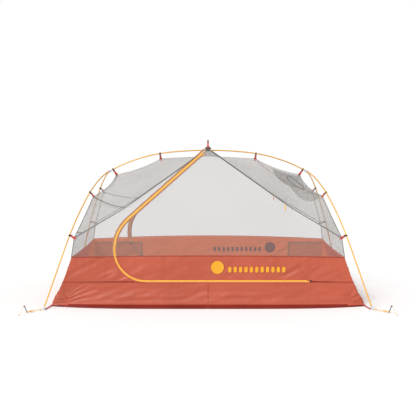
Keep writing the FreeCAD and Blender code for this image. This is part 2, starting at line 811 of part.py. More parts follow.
def zip_tapes():
    """Zip tape with its half of the coil, on the frame and on the door."""
    lift = dim.tape_lift
    bottom = dim.door_hinge_foot
    layouts = (
        ("front_frame_zip", 1, {"garage": True, "bottom_end": bottom - 3}),
        ("front_door_zip", -1, {"bottom_end": bottom - 20}),
    )
    for label, side, run in layouts:
        tape = band(side * dim.coil_gap, side * dim.tape_width, lift, dim.tape_thickness, **run)
        coil = band(side * dim.coil_gap, side * (dim.coil_gap + dim.coil_width), lift,
                    dim.coil_height, **run)
        source = node(label, feature(label + "_tape", tape.fuse(coil).removeSplitter()))
        mirrored_node(label.replace("front", "rear"), source)


def zip_sliders():
    """Slider over the coil: two plates and the web between them, with a lug on each plate."""
    centre, along, inward = zip_frame(SLIDER_PARKING)
    out = front.out
    half_length, half_width = dim.slider_length / 2, dim.slider_width / 2

    def block(long_half, wide_half, low, high):
        corner = centre - along * long_half - inward * wide_half + out * low
        box = Part.makeBox(2 * long_half, 2 * wide_half, high - low)
        box.Placement = axes_placement(corner, along, inward, out)
        return box

    outer, inner = SLIDER_PLATES["outer"], SLIDER_PLATES["inner"]
    web = block(dim.slider_web_half_length, dim.slider_web_half_width, inner[1], outer[0])
    body = block(half_length, half_width, *outer)
    body = body.fuse([block(half_length, half_width, *inner), web])
    for plate, pin in ((outer[1], PULL_PINS["outer"]), (inner[0], PULL_PINS["inner"])):
        body = body.fuse(lug(centre, plate, pin))
    source = node("front_zip_slider", feature("slider_body", body.removeSplitter()))
    mirrored_node("rear_zip_slider", source)
    zip_pulls(centre)


def lug(centre, plate, pin):
    """Two cheeks on a slider's plate and the pin across them that a pull hangs on."""
    top = pin + math.copysign(dim.lug_top, pin)
    plate -= math.copysign(dim.lug_root, pin)
    low, high = min(plate, top), max(plate, top)
    half_pin = dim.lug_inside + 0.6 * dim.lug_cheek
    shape = Part.makeCylinder(dim.lug_pin_radius, 2 * half_pin,
                              centre + front.out * pin - front.across * half_pin, front.across)
    for side in (-dim.lug_inside - dim.lug_cheek, dim.lug_inside):
        cheek = Part.makeBox(dim.lug_cheek, dim.lug_width, high - low)
        corner = (centre + front.across * side - front.up * (dim.lug_width / 2)
                  + front.out * low)
        cheek.Placement = axes_placement(corner, front.across, front.up, front.out)
        shape = shape.fuse(cheek)
    return shape


def zip_pulls(centre):
    """Pull tabs that hang from the slider's lugs, one outside and one inside the tent."""
    pulls = (("outer", front.up * -1), ("inner", Vector(0, 0, -1)))
    for side, down in pulls:
        label = "front_%s_pull" % side
        pin = centre + front.out * PULL_PINS[side]
        thick = front.across.cross(down)
        eye_start = pin - front.across * (dim.pull_width / 2)
        eye = Part.makeCylinder(dim.pull_eye_radius, dim.pull_width, eye_start, front.across)
        tab = Part.makeBox(dim.pull_width, dim.pull_length, dim.pull_thickness)
        tab.Placement = axes_placement(eye_start - thick * (dim.pull_thickness / 2),
                                       front.across, down, thick)
        hole = Part.makeCylinder(dim.pull_hole_radius, 2 * dim.pull_width,
                                 pin - front.across * dim.pull_width, front.across)
        pull = eye.fuse(tab).cut(hole)
        source = node(label, feature(label + "_tab", pull.removeSplitter()))
        mirrored_node(label.replace("front", "rear"), source)


def zip_end_stops():
    """Stitched stop at the end of each zip's bottom run."""
    bottom = dim.zip_side_height - dim.zip_lower_bend
    stop = Part.makeBox(dim.stop_length, dim.stop_width, dim.stop_height)
    corner = front.at(dim.door_hinge_foot + 2, bottom - dim.stop_width / 2, dim.tape_lift)
    stop.Placement = axes_placement(corner, front.across, front.up, front.out)
    source = feature("end_stop_front", stop)
    node("zip_end_stops", source, mirrored("end_stop_rear", source))


def tub_and_ends():
    """Floor with its four lower bands, and the upper bands of the two ends."""
    gap = dim.seam_gap
    end_wall = Wall(Vector(dim.floor_length / 2, 0, 0), Vector(0, 1, 0), dim.end_lean)
    low, high = dim.tub_cloth + gap, dim.band_height - gap
    front_band = feature("front_band", band_plate(front, tub_edge, low, high, dim.tub_cloth))
    end_band = feature("right_band", band_plate(end_wall, end_edge, low, high, dim.tub_cloth))
    node("floor_tub", tub_floor(), front_band, mirrored("rear_band", front_band),
         end_band, mirrored("left_band", end_band, Vector(1, 0, 0)))
    upper = feature("tub_end_right", band_plate(end_wall, end_edge, dim.band_height,
                                                dim.tub_height - gap, dim.cloth))
    node("tub_end_walls", upper, mirrored("tub_end_left", upper, Vector(1, 0, 0)))


def end_edge(height):
    """Half width of an end band at a height, just clear of the long walls."""
    return dim.floor_width / 2 - dim.side_lean * height - 2


def band_plate(wall, edge, low, high, thickness):
    """A band of a leaning wall between two heights, as wide as its edge at each."""
    outline = wall.outline([(-edge(low), low), (edge(low), low),
                            (edge(high), high), (-edge(high), high)])
    return wall.plate(outline, -thickness, thickness)


def tub_floor():
    """Flat floor sheet, whose rim follows the lean of the walls."""
    floor = primitive("Wedge", "tub_floor", Placement(Vector(), Rotation(Vector(1, 0, 0), 90)))
    for axis, length, lean in (("X", "floor_length", "end_lean"),
                               ("Z", "floor_width", "side_lean")):
        foot = "Sizes.%s / 2" % length
        top = "%s - Sizes.%s * Sizes.tub_cloth" % (foot, lean)
        floor.setExpression(axis + "min", "-(%s)" % foot)
        floor.setExpression(axis + "max", foot)
        floor.setExpression(axis + "2min", "-(%s)" % top)
        floor.setExpression(axis + "2max", top)
    floor.setExpression("Ymin", "0")
    floor.setExpression("Ymax", "Sizes.tub_cloth")
    return floor


# ---------------------------------------------------------------- curved cloth


def line(start, end):
    """Straight line from start to end."""
    return lambda part: start + (end - start) * part


def bowed(start, middle, end):
    """Curve through three points, the middle one at half way."""
    def at(part):
        return (start * ((1 - part) * (1 - 2 * part)) + middle * (4 * part * (1 - part))
                + end * (part * (2 * part - 1)))
    return at


def joined(*curves):
    """Curves end to end, with an equal share of the run each."""
    def at(part):
        number = min(int(part * len(curves)), len(curves) - 1)
        return curves[number](part * len(curves) - number)
    return at


def coons(first, last, left, right):
    """Surface that fills four edges: first and last run across, left and right run down."""
    def at(across, down):
        ruled_down = first(across) * (1 - down) + last(across) * down
        ruled_across = left(down) * (1 - across) + right(down) * across
        corners = (first(0) * ((1 - across) * (1 - down)) + first(1) * (across * (1 - down))
                   + last(0) * ((1 - across) * down) + last(1) * (across * down))
        return ruled_down + ruled_across - corners
    return at


def cloth_solid(surface, rows, columns, offset=0.0, margin=0.004):
    """Closed solid of the cloth's thickness on a surface, made of small flat facets."""
    def share(number, count):
        return margin + (1 - 2 * margin) * number / count

    def normal(across, down):
        step = 1e-3
        over = surface(across + step, down) - surface(across - step, down)
        under = surface(across, down + step) - surface(across, down - step)
        return over.cross(under).normalize()

    sides = []
    for out in (offset - dim.cloth / 2, offset + dim.cloth / 2):
        sides.append([[surface(share(c, columns), share(r, rows))
                       + normal(share(c, columns), share(r, rows)) * out
                       for c in range(columns + 1)] for r in range(rows + 1)])
    quads = []
    for grid in sides:
        quads += [(grid[r][c], grid[r][c + 1], grid[r + 1][c + 1], grid[r + 1][c])
                  for r in range(rows) for c in range(columns)]
    near, far = sides
    rim = ([(0, c) for c in range(columns)] + [(r, columns) for r in range(rows)]
           + [(rows, c) for c in range(columns, 0, -1)] + [(r, 0) for r in range(rows, 0, -1)])
    for (row, column), (next_row, next_column) in zip(rim, rim[1:] + rim[:1]):
        quads.append((near[row][column], near[next_row][next_column],
                      far[next_row][next_column], far[row][column]))
    faces = []
    for a, b, c, d in quads:
        for corners in ((a, b, c), (a, c, d)):
            faces.append(Part.Face(Part.makePolygon(list(corners) + [corners[0]])))
    solid = Part.makeSolid(Part.makeShell(faces))
    if solid.Volume < 0:
        solid.reverse()
    return solid


def roof_surface():
    """Roof panel of the front right corner: ridge seam, leg edge, diagonal seam and cross edge."""
    ridge = joined(line(RIDGE_SEAM_CENTRE, RIDGE_CLIP_CLOTH),
                   bowed(RIDGE_CLIP_CLOTH, RIDGE_EDGE_MIDDLE, HUB_CLIP_CLOTH))
    leg = joined(bowed(HUB_CLIP_CLOTH, UPPER_EDGE_MIDDLE, UPPER_CLIP_CLOTH),
                 bowed(UPPER_CLIP_CLOTH, LOWER_EDGE_MIDDLE, LOWER_CLIP_CLOTH))
    peak = front.at_height(0, dim.peak_height)
    knee = front.at_height(*SEAM_KNEE)
    diagonal = joined(line(peak, knee), line(knee, LOWER_CLIP_CLOTH))
    return coons(ridge, diagonal, line(RIDGE_SEAM_CENTRE, peak), leg)


def end_surface():
    """Netting of the right end, from the ridge down between the two legs to the tub."""
    tub_corner = front.at_height(tub_edge(dim.tub_height), dim.tub_height + 1)
    edge = joined(bowed(HUB_CLIP_CLOTH, UPPER_EDGE_MIDDLE, UPPER_CLIP_CLOTH),
                  bowed(UPPER_CLIP_CLOTH, LOWER_EDGE_MIDDLE, LOWER_CLIP_CLOTH),
                  line(LOWER_CLIP_CLOTH, tub_corner))

    def at(across, down):
        near = edge(down)
        return line(near, flip(near, (1, -1)))(across)
    return at


def curved_cloth():
    """Roof panels and end netting."""
    roof = feature("roof_front_right", cloth_solid(roof_surface(), 8, 8))
    whole = mirrored("roof_front_left_whole", roof, Vector(1, 0, 0))
    parked = zip_frame(SLIDER_PARKING)[0]
    pull_room = primitive("Sphere", "slider_pull_room", Placement(parked, Rotation()),
                          Radius="Sizes.pull_length + %s" % PULL_ROOM)
    source = node("front_roof_panels", roof, cut("roof_front_left", whole, pull_room))
    mirrored_node("rear_roof_panels", source)
    end = feature("end_right", cloth_solid(end_surface(), 9, 6))
    node("end_mesh_walls", end, mirrored("end_left", end, Vector(1, 0, 0)))


def ceiling_pocket():
    """Pocket under the front right roof panel, from its ridge and leg edges to a deep curve.

    Its corners and the middle of the curve are given as shares of the panel, across and down.
    """
    roof = roof_surface()
    on_ridge = Vector(0.70, 0.03, 0)
    at_clip = Vector(0.98, 0.49, 0)
    hub_corner = Vector(at_clip.x, on_ridge.y, 0)
    curve = bowed(on_ridge, Vector(0.71, 0.60, 0), at_clip)
    edges = joined(line(on_ridge, hub_corner), line(hub_corner, at_clip))

    def at(across, down):
        place = curve(down) * (1 - across) + edges(down) * across
        return roof(place.x, place.y)
    node("ceiling_pocket", feature("ceiling_pocket_cloth",
                                   cloth_solid(at, 10, 5, offset=POCKET_DROP, margin=0.02)))


def wall_pockets():
    """Two flat pockets sewn inside the rear tub wall."""
    low, high = WALL_POCKET_HEIGHTS
    panels = []
    for name, (start, end) in WALL_POCKETS.items():
        outline = front.outline([(start, low), (end, low), (end, high), (start, high)])
        panel = front.plate(outline, WALL_POCKET_INSET, dim.cloth)
        panels.append(mirrored("pocket_" + name, feature("pocket_front_" + name, panel)))
    node("wall_pockets", *panels)


# ---------------------------------------------------------------- peak and toggles


def peak_patches():
    """Diamond of stiff cloth over each peak of the roof."""
    middle = dim.peak_height * front.stretch + 3
    places = [(0, middle - dim.patch_reach), (dim.patch_half_width, middle),
              (0, middle + dim.patch_reach), (-dim.patch_half_width, middle)]
    points = [front.at(across, up) for across, up in places]
    outline = Part.makePolygon(points + points[:1])
    patch = front.plate(outline, dim.patch_standoff, dim.cloth)
    source = feature("patch_front", patch)
    node("peak_patches", source, mirrored("patch_rear", source))


def peak_straps():
    """Webbing loop round each end of the cross pole, down to the peak of the cloth."""
    width, thickness = dim.peak_strap_width, dim.strap_thickness
    centre, along, _ = advance(pole.cross, dim.cross_half - width, dim.cross_bend)
    ring = Part.makeCylinder(dim.peak_ring, width, centre - along * (width / 2), along)
    ring = ring.cut(Part.makeCylinder(dim.peak_ring_bore, 20, centre - along * 10, along))
    peak = front.at(0, dim.peak_height * front.stretch + 2, 3.5)
    down = (peak - centre).normalize()
    start = (dim.peak_ring + dim.peak_ring_bore) / 2
    thick = Vector(1, 0, 0).cross(down)
    web = Part.makeBox(width, (peak - centre).Length - start, thickness)
    corner = centre + down * start - Vector(width / 2, 0, 0) - thick * (thickness / 2)
    web.Placement = axes_placement(corner, Vector(1, 0, 0), down, thick)
    source = feature("strap_front", ring.fuse(web).removeSplitter())
    node("peak_straps", source, mirrored("strap_rear", source))


def tieback_toggles():
    """Toggle on a short loop beside the right diagonal seam, to hold the rolled door."""
    across, height, out = TOGGLE_PLACE
    top = front.at_height(across, height) + front.out * out
    down = front.up * -1
    loop_top = top + front.up * (dim.toggle_loop_length - 1)
    loop = Part.makeCylinder(dim.toggle_loop_radius, dim.toggle_loop_length, loop_top, down)
    toggle = Part.makeCylinder(dim.toggle_radius, dim.toggle_length, top, down)
    source = feature("toggle_front", loop.fuse(toggle))
    node("tieback_toggles", source, mirrored("toggle_rear", source))


# ---------------------------------------------------------------- corners, pegs and cords


def peg_axis():
    """Foot of the peg on the ground and its direction, leaning away from the tent."""
    return PEG_FOOT, (PEG_UPPER - PEG_FOOT).normalize()


def corner_straps():
    """Webbing from each corner of the floor to the pole's foot."""
    start = Vector(dim.floor_length / 2 + 1, -dim.floor_width / 2 - 1, 1.2)
    centre = advance(pole.tip, dim.tip_length)[0]
    foot = Vector(centre.x, centre.y, 3.0)
    along = (foot - start).normalize()
    length = (foot - start).Length - dim.foot_diameter / 2 - 0.4
    across = along.cross(Vector(0, 0, 1)).normalize()
    web = Part.makeBox(length, dim.strap_width, dim.strap_thickness)
    web.Placement = axes_placement(start - across * (dim.strap_width / 2), along, across,
                                   along.cross(across))
    if web.BoundBox.ZMin < 0:
        web.translate(Vector(0, 0, -web.BoundBox.ZMin + 0.1))
    right = feature("strap_front_right", web)
    left = mirrored("strap_front_left", right, Vector(1, 0, 0))
    node("corner_straps", right, left, mirrored("strap_rear_right", right),
         mirrored("strap_rear_left", left))


def pegs():
    """What shows of each ground peg: its shaft above the ground and its cap."""
    foot, along = peg_axis()
    buried = 10
    shaft = Part.makeCylinder(dim.peg_diameter / 2, dim.peg_length + buried,
                              foot - along * buried, along)
    cap = Part.makeCylinder(dim.peg_cap_diameter / 2, dim.peg_cap_height,
                            foot + along * (dim.peg_length - dim.peg_cap_height), along)
    ground = Part.makeBox(100, 100, 40, Vector(foot.x - 50, foot.y - 50, -40))
    peg = shaft.fuse(cap).cut(ground)
    return at_each_corner("peg", peg)


def at_each_corner(prefix, shape):
    """A sub-part in each corner, mirrored from the front right one."""
    right = node(prefix + "_front_right", feature(prefix + "_solid", shape))
    left = mirrored(prefix + "_front_left", right, Vector(1, 0, 0))
    left.Label = prefix + "_front_left"
    nodes.append(left)
    mirrored_node(prefix + "_rear_right", right)
    mirrored_node(prefix + "_rear_left", left)


def guy_cords():
    """Taut cord from each pole foot, round the peg just above the ground and back."""
    foot, peg_along = peg_axis()
    centre = foot + peg_along * dim.guy_peg_height
    tip = advance(pole.tip, dim.tip_length)[0]
    start = Vector(tip.x, tip.y, dim.guy_end_height)
    along = (centre - start).normalize()
    start = start + along * (dim.foot_diameter / 2 + 2)
    sideways = along.cross(Vector(0, 0, 1)).normalize()
    distance = (centre - start).Length
    bend, half_gap = dim.guy_bend, dim.guy_half_gap
    splay = math.asin(bend / math.hypot(distance, half_gap)) - math.atan2(half_gap, distance)
    ends = [start + sideways * (side * half_gap) for side in (1, -1)]
    touches = [centre - along * (bend * math.sin(splay)) + sideways * (side * bend
                                                                     * math.cos(splay))
               for side in (1, -1)]
    edges = [Part.LineSegment(ends[0], touches[0]).toShape(),
             Part.Arc(touches[0], centre + along * bend, touches[1]).toShape(),
             Part.LineSegment(touches[1], ends[1]).toShape()]
    cord = pipe(edges, dim.guy_diameter)
    report_cord("guy cord", edges, cord, dim.guy_diameter, [bend])
    at_each_corner("guy_cord", cord)


PULL_CORD_ROUTE = (
    Vector(1208.5, -939.0, 45.0),
    Vector(1213.0, -948.0, 39.0),
    Vector(1215.5, -957.0, 27.0),
    Vector(1219.5, -964.0, 13.5),
    Vector(1222.5, -973.5, 4.0),
    Vector(1223.5, -986.5, 1.4),
    Vector(1229.0, -999.0, 1.4),
)


def rounded_route(route):
    """Straight runs joined by the largest tangent arcs that fit, and those arcs' radii."""
    edges, radii = [], []
    start = route[0]
    for before, corner, after in zip(route, route[1:], route[2:]):
        arriving, leaving = corner - before, after - corner
        half_turn = arriving.getAngle(leaving) / 2
        tangent = 0.45 * min(arriving.Length, leaving.Length)
        radius = tangent / math.tan(half_turn)
        into = arriving.normalize()
        out_of = leaving.normalize()
        first, last = corner - into * tangent, corner + out_of * tangent
        inside = (out_of - into).normalize()
        middle = corner + inside * (radius / math.cos(half_turn) - radius)
        edges.append(Part.LineSegment(start, first).toShape())
        edges.append(Part.Arc(first, middle, last).toShape())
        radii.append(radius)
        start = last
    edges.append(Part.LineSegment(start, route[-1]).toShape())
    return edges, radii


def peg_pull_cords():
    """Thin cord from each peg's cap down to the ground, for pulling the peg out."""
    edges, radii = rounded_route(PULL_CORD_ROUTE)
    cord = pipe(edges, dim.pull_cord_diameter)
    report_cord("peg pull cord", edges, cord, dim.pull_cord_diameter, radii)
    at_each_corner("peg_pull_cord", cord)


def report_cord(name, edges, solid, diameter, radii):
    """Print a cord's length and bends, and its volume against section times length."""
    length = sum(edge.Length for edge in edges)
    expected = math.pi * diameter ** 2 / 4 * length
    print("%s: %.1f mm long, radii %s, volume ratio %.4f"
          % (name, length, ", ".join("%.1f" % radius for radius in radii),
             solid.Volume / expected))


# ---------------------------------------------------------------- build and export

front = Wall(Vector(0, -dim.floor_width / 2, 0), Vector(1, 0, 0), dim.side_lean)
pole = pole_frames()
LOWER_CLIP_CLOTH = front.at_height(LOWER_CLIP_REACH, LOWER_CLIP_HEIGHT)


def build():
    pole_sections()
    ferrules()
    shock_cords()
    ridge_hubs()
    cross_saddle()
    cross_pole_tips()
    foot_tips()
    foot_sockets()
    clips_and_tabs()
    tub_and_ends()
    front_cloth()
    curved_cloth()
    ceiling_pocket()
    wall_pockets()
    zip_tapes()
    zip_sliders()
    zip_end_stops()
    peak_patches()
    peak_straps()
    tieback_toggles()
    corner_straps()
    pegs()
    guy_cords()
    peg_pull_cords()
    doc.recompute()


def check():
    """Stop before anything is written if an object failed or a sub-part isn't sound."""
    for thing in doc.Objects:
        if "Invalid" in thing.State or "Error" in thing.State:
            raise RuntimeError("%s failed: %s" % (thing.Label, thing.State))
    for part in nodes:
        if part.Shape.isNull() or not part.Shape.isValid() or part.Shape.Volume <= 0:
            raise RuntimeError("%s is not a sound shape" % part.Label)


def export():
    os.makedirs("parts", exist_ok=True)
    for part in nodes:
        part.Shape.exportStep("parts/%s.step" % part.Label)
        print("%-22s %3d solids %12.1f mm3" % (part.Label, len(part.Shape.Solids),
                                               part.Shape.Volume))
    print("%d nodes, hub at %s, ball at %s" % (len(nodes), pole.hub[0],
                                               advance(pole.tip, dim.tip_length)[0]))


build()
check()
export()
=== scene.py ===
"""Looks of the inner tent: cloth, netting, zips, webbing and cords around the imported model.

Metres, in the model's own frame: the origin is the centre of the floor on the ground, +Z is up and
the front door faces -Y. Front and rear mirror each other, so a side is 1 for front, -1 for rear.
"""
import math

import bmesh
import bpy
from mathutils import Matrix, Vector, noise


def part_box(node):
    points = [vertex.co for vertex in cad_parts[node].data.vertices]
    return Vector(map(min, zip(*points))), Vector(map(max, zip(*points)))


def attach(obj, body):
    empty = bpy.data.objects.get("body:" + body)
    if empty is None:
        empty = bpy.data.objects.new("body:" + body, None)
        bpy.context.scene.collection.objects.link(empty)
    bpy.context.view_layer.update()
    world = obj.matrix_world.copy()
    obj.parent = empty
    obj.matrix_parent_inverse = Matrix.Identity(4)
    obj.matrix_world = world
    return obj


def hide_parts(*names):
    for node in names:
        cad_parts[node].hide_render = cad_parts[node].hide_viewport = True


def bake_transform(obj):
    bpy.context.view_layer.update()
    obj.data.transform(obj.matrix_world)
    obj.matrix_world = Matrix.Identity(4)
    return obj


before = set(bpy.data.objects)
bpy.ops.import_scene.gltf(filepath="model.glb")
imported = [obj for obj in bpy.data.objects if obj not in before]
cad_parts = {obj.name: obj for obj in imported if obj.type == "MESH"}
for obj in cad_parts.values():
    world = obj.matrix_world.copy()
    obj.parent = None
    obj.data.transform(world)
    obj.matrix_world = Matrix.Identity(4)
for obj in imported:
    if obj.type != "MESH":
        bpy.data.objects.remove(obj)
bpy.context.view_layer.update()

FRONT, REAR = 1, -1
RIGHT, LEFT = 1, -1
SIDES = ((FRONT, "front"), (REAR, "rear"))
CORNERS = [(x_side, y_side) for x_side in (RIGHT, LEFT) for y_side in (FRONT, REAR)]
UP = Vector((0, 0, 1))

# ---------------------------------------------------------------- the tent's own sizes

FLOOR_HALF_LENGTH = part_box("floor_tub")[1].x
FLOOR_HALF_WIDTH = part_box("floor_tub")[1].y
BAND_HEIGHT = 0.161
TUB_HEIGHT = 0.330
TUB_CROWNS = {FRONT: 0.010, REAR: 0.026}
END_LEAN = 0.409
SIDE_LEAN = 0.1495
CORNER_DRAW_IN = 0.010
END_DRAW_IN = 0.012
STRETCH = math.sqrt(1 + SIDE_LEAN ** 2)
WALL_UP = Vector((0, SIDE_LEAN, 1)).normalized()
WALL_OUT = Vector((0, -1, SIDE_LEAN)).normalized()

# Places on the front wall, as (across, height above the ground).
PEAK = Vector((0, 1.075))
KNEE = Vector((0.571, 0.671))
LOWER_CLIP = Vector((0.922, 0.463))
HINGE_FOOT = Vector((0.700, 0.1691))
TOGGLE = Vector((0.534, 0.676))

# Places of the front right quarter of the roof.
RIDGE_CENTRE = Vector((0, 0, 1.0175))
RIDGE_CLIP = Vector((0.354, 0, 0.9985))
HUB_CLIP = Vector((0.686, 0, 0.880))
UPPER_CLIP = Vector((0.821, -0.315, 0.734))
RIDGE_EDGE = Vector((0.515, 0, 0.925))
UPPER_EDGE = Vector((0.729, -0.150, 0.800))
LOWER_EDGE = Vector((0.872, -0.460, 0.590))
KNEE_SEAM = Vector((0.697, -0.45, 0.688))
POLE_FOOT = Vector((1.0993, -0.8046, 0.0050))

# The zip, in the plane of the wall: down a slope, round two bends and along the bottom.
SLOPE = math.radians(41.8)
ZIP_TURN = math.pi / 2 - SLOPE
ZIP_TOP = 1.076
ZIP_SIDE = Vector((-0.645, 0.389))
UPPER_BEND, LOWER_BEND = 0.283, 0.218
STRAIGHT = (ZIP_TOP - (ZIP_SIDE.y + UPPER_BEND * math.sin(ZIP_TURN))) / math.sin(SLOPE)
UPPER_RUN = UPPER_BEND * ZIP_TURN
LOWER_RUN = LOWER_BEND * math.pi / 2
ARC_END = STRAIGHT + UPPER_RUN + LOWER_RUN
ZIP_LENGTH = ARC_END + HINGE_FOOT.x - ZIP_SIDE.x - LOWER_BEND


def on_wall(place, out=0.0):
    """A point of the front wall from (across, height above ground), lifted off it by out."""
    across, height = place
    return Vector((across, -FLOOR_HALF_WIDTH, 0)) + WALL_UP * (height * STRETCH) + WALL_OUT * out


def flip(point, x_side, y_side):
    """The same point in another quarter of the tent."""
    return Vector((point.x * x_side, point.y * y_side, point.z))


def tub_edge(height):
    """Half length of the tub's long wall at a height, drawn in a little along its corner."""
    draw_in = CORNER_DRAW_IN * math.sin(math.pi * min(height / TUB_HEIGHT, 1))
    return FLOOR_HALF_LENGTH - END_LEAN * height - draw_in


TUB_CORNER = Vector((tub_edge(TUB_HEIGHT), TUB_HEIGHT))
BAND_CORNER = Vector((tub_edge(BAND_HEIGHT), BAND_HEIGHT))


# ---------------------------------------------------------------- curves and surfaces


def lerp(start, end, part):
    return start + (end - start) * part


def line(start, end):
    return lambda part: lerp(start, end, part)


def bowed(start, middle, end):
    """Curve through three points."""
    return lambda part: (start * ((1 - part) * (1 - 2 * part)) + middle * (4 * part * (1 - part))
                         + end * (part * (2 * part - 1)))


def joined(*curves):
    """Curves one after another, each over an equal part."""
    def at(part):
        number = max(0, min(int(part * len(curves)), len(curves) - 1))
        return curves[number](part * len(curves) - number)
    return at


def mirrored(shape, x_side, y_side):
    """A curve or surface in another quarter of the tent."""
    return lambda *place: flip(shape(*place), x_side, y_side)


def coons(first, last, left, right):
    """Surface over (across, down) that fills four edges."""
    def at(across, down):
        corners = (first(0) * ((1 - across) * (1 - down)) + first(1) * (across * (1 - down))
                   + last(0) * ((1 - across) * down) + last(1) * (across * down))
        return (lerp(first(across), last(across), down)
                + lerp(left(down), right(down), across) - corners)
    return at


def circle(count, centre, first, second, ends=False):
    """Points round an ellipse with two half axes, with its start again as its end if ends."""
    angles = [2 * math.pi * number / count for number in range(count + ends)]
    return [centre + first * math.cos(angle) + second * math.sin(angle) for angle in angles]


def along_curve(curve, count):
    return [curve(number / count) for number in range(count + 1)]


def hump(*parts):
    """1 in the middle of a cloth and 0 along its edges."""
    return math.prod(math.sin(math.pi * part) for part in parts)


def zip_point(distance, offset=0.0):
    """Place on the wall, a distance down the zip from its top, offset outwards from the door."""
    past = distance - STRAIGHT - UPPER_RUN
    if past < 0:
        angle = ZIP_TURN * min(1.0, (STRAIGHT + UPPER_RUN - distance) / UPPER_RUN)
        bend, rise = UPPER_BEND, math.sin(angle)
        run = Vector((math.cos(SLOPE), math.sin(SLOPE))) * max(0.0, STRAIGHT - distance)
    else:
        angle = min(math.pi / 2, past / LOWER_BEND)
        bend, rise = LOWER_BEND, -math.sin(angle)
        run = Vector((max(0.0, past - LOWER_RUN), 0))
    centre = ZIP_SIDE + Vector((bend, 0))
    place = centre + Vector((-math.cos(angle), rise)) * (bend + offset) + run
    return Vector((place.x, place.y / STRETCH))


def zip_stretch(start, end):
    return lambda part: on_wall(zip_point(lerp(start, end, part)))


def wall_line(start, end):
    return lambda part: on_wall(lerp(start, end, part))


def fold_place(height):
    """Where the door's uncut fold is at a height."""
    part = (height - HINGE_FOOT.y) / (PEAK.y - HINGE_FOOT.y)
    return Vector((lerp(HINGE_FOOT.x, PEAK.x, part), height))


def top_height(across, side):
    """Height of the tub's top edge, which crowns towards the middle of the wall."""
    return TUB_HEIGHT + TUB_CROWNS[side] * (1 - (across / TUB_CORNER.x) ** 2)


def tub_top(start, end, side):
    """Along the tub's top edge."""
    def at(part):
        across = lerp(start, end, part)
        return on_wall((across, top_height(across, side)))
    return at


def tub_crossing(side):
    """How far down the zip meets the tub's top edge."""
    height = TUB_HEIGHT
    for _ in range(5):
        drop = ZIP_SIDE.y - height * STRETCH
        distance = STRAIGHT + UPPER_RUN + LOWER_BEND * math.asin(drop / LOWER_BEND)
        height = top_height(zip_point(distance).x, side)
    return distance


def fold_top(side):
    """Where the fold meets the tub's top edge."""
    place = fold_place(TUB_HEIGHT)
    for _ in range(5):
        place = fold_place(top_height(place.x, side))
    return place


# ---------------------------------------------------------------- meshes


def make_mesh(name, points, faces, material, smooth=True):
    """New piece from points and faces, in one material."""
    mesh = bpy.data.meshes.new(name)
    mesh.from_pydata([tuple(point) for point in points], [], faces)
    mesh.validate()
    mesh.materials.append(material)
    mesh.polygons.foreach_set("use_smooth", [smooth] * len(mesh.polygons))
    mesh.update()
    return add_object(name, mesh)


def add_object(name, data):
    piece = bpy.data.objects.new(name, data)
    bpy.context.scene.collection.objects.link(piece)
    return piece


def grid_points(surface, columns, rows, relief=None):
    """Points of a surface, each moved along its normal by the relief."""
    step = 1e-4
    points = []
    for row in range(rows + 1):
        for column in range(columns + 1):
            across, down = column / columns, row / rows
            point = surface(across, down)
            if relief is not None:
                inside_across = min(max(across, step), 1 - step)
                inside_down = min(max(down, 0.02), 1 - step)
                over = (surface(inside_across + step, inside_down)
                        - surface(inside_across - step, inside_down))
                under = (surface(inside_across, inside_down + step)
                         - surface(inside_across, inside_down - step))
                normal = over.cross(under).normalized()
                point = point + normal * relief(across, down, point)
            points.append(point)
    return points


def grid_faces(columns, rows, start=0):
    width = columns + 1
    return [(start + row * width + column, start + row * width + column + 1,
             start + (row + 1) * width + column + 1, start + (row + 1) * width + column)
            for row in range(rows) for column in range(columns)]


def ring_faces(count, sides, closed=False):
    """Faces between rings of points, with the last ring joined to the first if closed."""
    faces = []
    for number in range(count if closed else count - 1):
        start, following = number * sides, (number + 1) % count * sides
        for side in range(sides):
            beside = (side + 1) % sides
            faces.append((start + side, start + beside, following + beside, following + side))
    return faces


def skin(name, rings, material, closed=False, smooth=True):
    """Surface over rings of points, with flat ends unless it is closed."""
    count, sides = len(rings), len(rings[0])
    faces = ring_faces(count, sides, closed)
    if not closed:
        faces.append(tuple(range(sides - 1, -1, -1)))
        faces.append(tuple(range((count - 1) * sides, count * sides)))
    return make_mesh(name, [point for ring in rings for point in ring], faces, material, smooth)


def weld(piece, distance=0.0004):
    """Merge points that lie on each other, as at a panel's pointed corner."""
    work = bmesh.new()
    work.from_mesh(piece.data)
    bmesh.ops.remove_doubles(work, verts=work.verts, dist=distance)
    bmesh.ops.recalc_face_normals(work, faces=work.faces)
    work.to_mesh(piece.data)
    work.free()
    return piece


def thicken(piece, thickness):
    """Give cloth a thickness, half of it on each side."""
    modifier = piece.modifiers.new("cloth", "SOLIDIFY")
    modifier.thickness = thickness
    modifier.offset = 0.0
    modifier.use_even_offset = False
    graph = bpy.context.evaluated_depsgraph_get()
    graph.update()
    mesh = bpy.data.meshes.new_from_object(piece.evaluated_get(graph))
    piece.modifiers.clear()
    piece.data = mesh
    return piece


def panel(name, surfaces, columns, rows, material, relief=None, thickness=0.0):
    """Cloth made of one or more surfaces, all of one piece."""
    points, faces = [], []
    for surface in surfaces:
        faces += grid_faces(columns, rows, len(points))
        points += grid_points(surface, columns, rows, relief)
    piece = weld(make_mesh(name, points, faces, MATERIALS[material]))
    return thicken(piece, thickness) if thickness else piece


def netting(*cloth):
    """Cloth as a panel makes it, so fine that it casts no shadow."""
    piece = panel(*cloth)
    piece.visible_shadow = False
    return piece


